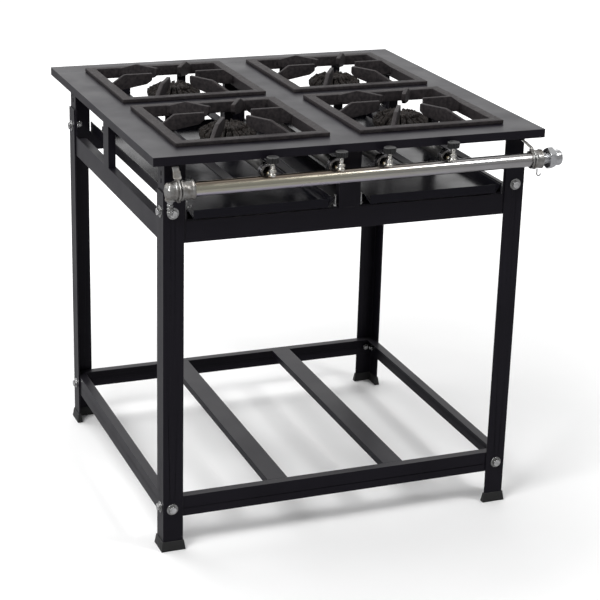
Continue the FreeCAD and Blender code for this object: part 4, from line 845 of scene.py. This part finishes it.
CAP_START, CAP_HEXAGON, CAP_ACROSS, CAP_COLUMNS = 18.5, 13.0, 37.0, 96
CAP_PROFILE = [(10.7, 14.8), (10.7, 0.0), (18.2, 0.0), (21.2, 1.9), (21.2, 11.0), (18.2, CAP_HEXAGON),
               (14.6, 13.8), (15.4, 15.6), (15.4, 25.4), (14.0, 28.0), (11.6, 29.0), (0, 29.0)]
cap_outline = fine(rounded(CAP_PROFILE, 0.9, 3), 1.4)
on_hexagon = (cap_outline[:, 1] < CAP_HEXAGON + 0.2) & (cap_outline[:, 0] > 14)
cap_points, cap_faces = turned(cap_outline, CAP_COLUMNS, six_sided(cap_outline, CAP_ACROSS, on_hexagon))
closed_cap = np.vstack([cap_points, cap_points[:CAP_COLUMNS].mean(axis=0)])
inner = [[len(cap_points), (k + 1) % CAP_COLUMNS, k] for k in range(CAP_COLUMNS)]
cap_spot = pipe_end + (CAP_START, 0, CAP_START * pipe_slope)
make_piece("hexagon_end_cap", [(laid_on_pipe(along_x(closed_cap), cap_spot), [*cap_faces.tolist(), *inner])],
           cap_nickel, "stand", "end_cap", 32)

# %% Inlet elbow and hose barb
low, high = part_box("inlet_elbow")
elbow_left = low.x / MM - pipe_start[0] + 0.3
shoulder = -17.7
ELBOW_PROFILE = [(0, elbow_left), (7.0, elbow_left), (11.8, elbow_left + 1.0), (15.0, elbow_left + 4.2),
                 (16.2, elbow_left + 8.5), (16.2, shoulder - 6.5), (17.6, shoulder - 5.6),
                 (18.0, shoulder - 3.0), (17.4, shoulder - 0.6), (16.0, shoulder), (13.4, shoulder + 0.4),
                 (13.4, -0.2), (0, -0.2)]
elbow = turned(fine(rounded(ELBOW_PROFILE, 1.6, 3), 1.6), 72)
barb_low, barb_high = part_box("hose_barb")
barb_x = (barb_low.x + barb_high.x) / 2 / MM - pipe_start[0]
BOSS_PROFILE = [(0, -6.0), (9.6, -6.0), (9.4, -14.0), (9.9, -15.4), (9.9, -17.4), (9.0, -18.4),
                (5.1, -18.4), (0, -18.4)]
boss = turned(fine(rounded(BOSS_PROFILE, 0.9, 3), 1.5), 48)
shells = [(laid_on_pipe(cast(along_x(elbow[0]), 0.35, 12.0, 200.0), pipe_start), elbow[1]),
          (laid_on_pipe(cast(boss[0] + (barb_x, 0, 0), 0.2, 9.0, 240.0), pipe_start), boss[1][:, ::-1])]
make_piece("cast_elbow", shells, fitting_zinc, "stand", "inlet_elbow", 50)

BARB_RADIUS, BARB_ROOT, RIDGES = 6.2, 4.5, 4
pitch = 26.0 / RIDGES
barb_profile = [(0, 6.8), (4.85, 6.8), (4.85, 0.2), (BARB_RADIUS, -0.2)]
for ridge in range(RIDGES):
    barb_profile += [(BARB_RADIUS, -pitch * ridge - 1.3), (BARB_ROOT, -pitch * (ridge + 1) + 0.6),
                     (BARB_RADIUS - 0.3, -pitch * (ridge + 1))]
barb_profile = barb_profile[:-1] + [(BARB_ROOT, -26.0), (0, -26.0)]
barb = turned(fine(rounded(barb_profile, 0.5, 2), 1.2), 48)
barb_spot = np.array([pipe_start[0] + barb_x, pipe_start[1], barb_high.z / MM - 7.2])
make_piece("ridged_hose_barb", [(barb[0] + barb_spot, barb[1][:, ::-1])], fastener_zinc, "stand",
           "hose_barb", 45)

# %% Pipe hangers: a forged strap that widens into an eye
def strap(path, columns=20):
    """A lofted strap: at each path row (x, y, z, half width in x, half depth in y) a rounded outline
    |dx/a|^4 + |dy/b|^4 = 1 lies flat, and the rows are joined."""
    rows = fine(np.asarray(path, float), 2.5)
    angle = np.linspace(0, 2 * np.pi, columns, endpoint=False)
    c, s = np.cos(angle), np.sin(angle)
    across = np.sign(c) * np.abs(c) ** 0.5
    deep = np.sign(s) * np.abs(s) ** 0.5
    points = np.stack([rows[:, :1] + rows[:, 3:4] * across, rows[:, 1:2] + rows[:, 4:5] * deep,
                       np.broadcast_to(rows[:, 2:3], (len(rows), columns))], axis=-1).reshape(-1, 3)
    last = (len(rows) - 1) * columns
    caps = [list(range(columns)), list(range(last, last + columns))]
    return points, [*grid_faces(len(rows), columns).tolist(), *caps]


def eye(radius):
    """The hanger's eye: a thick ring with rounded edges, turned about Z."""
    section = [(13.75, -2), (radius - 1.2, -2), (radius, -0.9), (radius, 0.9), (radius - 1.2, 2), (13.75, 2)]
    return ring(fine(rounded(section, 0.8, 3, closed=True), 1.5), 64)


table_low, table_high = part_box("table_top")
table_front, under = table_low.y / MM, table_high.z / MM - 2.2
HANGERS = [(-17.3, 22.0, 42.0, table_low.x, 5.5, 10.0), (-15.4, 17.5, -47.5, table_high.x, 4.0, 5.0)]
shells = []
for number, (offset, radius, inset, edge, top_half, foot_half) in enumerate(HANGERS):
    spot = (pipe_start, pipe_end)[number]
    ring_points, ring_faces_of_eye = eye(radius)
    centre = spot + (offset, 0, offset * pipe_slope)
    shells.append((cast(along_x(ring_points), 0.3, 10.0, 31.0 * number) + centre, ring_faces_of_eye))
    top_x, top_y = edge / MM + inset, table_front + 7.0
    foot_z = centre[2] + 19.5
    path = [(top_x, top_y, under, top_half, 2.0), (top_x, top_y, under - 14.0, top_half, 2.0),
            (centre[0], centre[1], foot_z + 3.0, foot_half * 0.8, 2.2),
            (centre[0], centre[1], foot_z, 4.0, 3.2), (centre[0], centre[1], centre[2] + 14.0, 2.0, 5.0)]
    points, faces = strap(path)
    shells.append((cast(points, 0.3, 10.0, 77.0 * number), faces))
    shells.append(strap([(top_x, top_y + 10.0, under, top_half, 9.0),
                         (top_x, top_y + 10.0, under - 3.6, top_half, 9.0)]))
make_piece("forged_hangers", shells, fitting_zinc, "stand", "pipe_hangers", 50)

# %% Valves and jets
VALVE_PROFILE = [(0, 9.0), (7.3, 9.0), (7.4, 14.4), (6.8, 16.0), (5.2, 17.0), (5.2, 18.0), (6.2, 18.0),
                 (6.9, 18.6), (6.9, 23.4), (6.2, 24.0), (4.2, 24.0), (3.8, 26.0), (4.3, 27.6), (4.3, 31.4),
                 (3.5, 32.6), (3.5, 40.1), (2.2, 40.1), (2.2, 38.5), (0, 38.5)]
valve_outline = fine(rounded(VALVE_PROFILE, 0.5, 2), 1.0)
on_hexagon = (valve_outline[:, 1] > 17.9) & (valve_outline[:, 1] < 24.1) & (valve_outline[:, 0] > 5.5)
valve = turned(valve_outline, 96, six_sided(valve_outline, 12.0, on_hexagon))
ARM_PROFILE = [(0, 0), (5.4, 0), (5.4, 8.0), (4.8, 9.0), (4.8, 9.8), (5.4, 10.4), (5.4, 11.5), (0, 11.5)]
arm = turned(fine(rounded(ARM_PROFILE, 0.4, 2), 1.2), 48)
JET_PROFILE = [(0, 0), (3.9, 0), (3.9, 5.0), (3.2, 5.6), (3.2, 6.4), (4.0, 7.0), (4.0, 12.6), (3.3, 13.6),
               (2.25, 21.2), (1.6, 22.0), (0.6, 22.0), (0.6, 20.0), (0, 20.0)]
jet = turned(fine(rounded(JET_PROFILE, 0.3, 2), 1.2), 48)
ARM_RISE = 10.5


def along_y(points):
    """Lays a part that was turned about Z along Y: its Z becomes Y."""
    return points[:, [0, 2, 1]]


valve_shells, jet_shells = [], []
for number in range(1, 5):
    low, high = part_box(f"knob_{number}")
    spot = np.array([(low.x + high.x) / 2 / MM, pipe_start[1], high.z / MM - 47.5])
    valve_shells.append((valve[0] + spot, valve[1]))
    valve_shells.append((along_y(arm[0]) + spot + (0, 0, ARM_RISE), arm[1][:, ::-1]))
    jet_shells.append((along_y(jet[0]) + spot + (0, 11.5, ARM_RISE), jet[1][:, ::-1]))
make_piece("plated_valves", valve_shells, valve_nickel, "stand", "valve_bodies", 32)
make_piece("turned_jets", jet_shells, jet_brass, "stand", "gas_jets", 40)

# %% [markdown]
# ## Bolts, washers and nuts
#
# Sixteen hexagon bolts hold the legs to the frame and the shelf, one through each flange at each
# end. Every head has its corners turned down, every washer has soft rims, and no two bolts were
# stopped at the same angle.

# %% The bolts at the corners of the stand
BOLT_INSET, BOLT_HEIGHTS = 18.5, (680.0, 87.0)
HEAD_PROFILE = [(0, 1.7), (5.9, 1.7), (7.4, 2.3), (7.4, 5.9), (6.5, 6.9), (5.4, 7.1), (4.6, 6.7), (0, 6.6)]
SHANK_PROFILE = [(0, -14.0), (3.2, -14.0), (4.0, -13.0), (4.0, 1.8), (0, 1.8)]
WASHER_SECTION = [(4.3, 0), (11.3, 0), (11.5, 0.5), (11.3, 1.4), (10.6, 1.75), (5.2, 1.8), (4.3, 1.4)]
NUT_SECTION = [(4.1, 0), (6.2, 0), (7.4, 0.7), (7.4, 4.8), (6.2, 5.5), (4.1, 5.5)]


def hexagonal(profile, low, high, columns=96):
    """A turned shape whose outer rows between two heights are cut to a 13 mm hexagon."""
    cut = (profile[:, 1] > low) & (profile[:, 1] < high) & (profile[:, 0] > 5.6)
    return six_sided(profile, 13.0, cut, columns)


head_outline = fine(rounded(HEAD_PROFILE, 0.4, 2), 0.9)
head = turned(head_outline, 96, hexagonal(head_outline, 1.6, 6.95))
shank = turned(rounded(SHANK_PROFILE, 0.4, 2), 32)
washer = ring(fine(rounded(WASHER_SECTION, 0.3, 2, closed=True), 1.5), 48)
nut_outline = fine(rounded(NUT_SECTION, 0.3, 2, closed=True), 0.9)
nut = ring(nut_outline, 96, hexagonal(nut_outline, -0.1, 5.6))


def facing(points, side, spin):
    """Turns a part about its own Z by spin, then lays that Z along X (side 0) or Y (side 1),
    outwards for a positive sign."""
    axis, sign = side
    x, y, z = turned_flat(points, spin).T
    return np.column_stack([sign * z, y, x] if axis == 0 else [x, sign * z, y])


bolt_shells, washer_shells, nut_shells = [], [], []
for corner_name in ("front_left", "front_right", "rear_left", "rear_right"):
    low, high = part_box("leg_" + corner_name)
    toward_x = -1 if "left" in corner_name else 1
    toward_y = -1 if "front" in corner_name else 1
    outer_x = (low.x if toward_x < 0 else high.x) / MM
    outer_y = (low.y if toward_y < 0 else high.y) / MM
    for level, height in enumerate(BOLT_HEIGHTS):
        behind = -6.0 if level == 0 else -5.0
        seats = [((0, toward_x), (outer_x, outer_y - toward_y * BOLT_INSET, height)),
                 ((1, toward_y), (outer_x - toward_x * BOLT_INSET, outer_y, height))]
        for side, seat in seats:
            spin = rng.uniform(0, 60)
            for shape, shells in ((head, bolt_shells), (shank, bolt_shells), (washer, washer_shells)):
                shells.append((facing(shape[0], side, spin) + seat, shape[1]))
            inside = facing(nut[0] * (1, 1, -1) + (0, 0, behind), side, spin + 20)
            nut_shells.append((inside + seat, nut[1]))
make_piece("hexagon_bolts", bolt_shells, bolt_zinc, "stand", "frame_bolts", 32)
make_piece("round_washers", washer_shells, fastener_zinc, "stand", "frame_washers", 40)
make_piece("hexagon_nuts", nut_shells, fastener_zinc, "stand", "frame_nuts", 32)

# %% [markdown]
# ## Floor and finish
#
# The stove stands on a plain pale floor that runs out to the white of the room. Light that
# bounces off it is dimmer than what the lens sees, and far off it glows a little towards white.

# %% Floor
def disc(radius, rings, columns):
    """A flat disc of points (r cos a, r sin a, 0), with its rings closer together near the middle."""
    rim = np.linspace(0, 1, rings + 1)[1:] ** 2 * radius
    angle = np.linspace(0, 2 * np.pi, columns, endpoint=False)
    points = np.stack([rim[:, None] * np.cos(angle), rim[:, None] * np.sin(angle),
                       np.zeros((rings, columns))], axis=-1).reshape(-1, 3)
    return points, [list(range(columns)), *grid_faces(rings, columns).tolist()]


FLOOR_RADIUS, GLOW, GLOW_START, GLOW_END = 14.0, 0.45, 0.7, 2.4
floor_points, floor_faces = disc(FLOOR_RADIUS, 6, 96)
floor_mesh = bpy.data.meshes.new("floor")
floor_mesh.from_pydata(floor_points.tolist(), [], floor_faces)
floor_paint, tree, shader = new_finish("pale_floor", 0.9, mirror=0.1)
shade = between(tree, blotches(tree, 3.0), 0, 1)
paper = mix_colours(tree, shade, (0.95, 0.95, 0.95), (0.98, 0.98, 0.98))
towards_lens = add(tree, "LightPath").outputs["Is Camera Ray"]
tree.links.new(mix_colours(tree, towards_lens, (0.42, 0.42, 0.43), paper), shader.inputs["Base Color"])
spot = add(tree, "TexCoord").outputs["Object"]
distance = add(tree, "VectorMath", {0: spot}, operation="LENGTH").outputs["Value"]
far_off = sum_of(tree, "MULTIPLY", between(tree, distance, 0, GLOW, GLOW_START, GLOW_END), towards_lens)
shader.inputs["Emission Color"].default_value = (1, 1, 1, 1)
tree.links.new(far_off, shader.inputs["Emission Strength"])
floor_mesh.materials.append(floor_paint)
floor = bpy.data.objects.new("floor", floor_mesh)
bpy.context.scene.collection.objects.link(floor)
floor.location.z = cad_box[0][2] - 0.0005
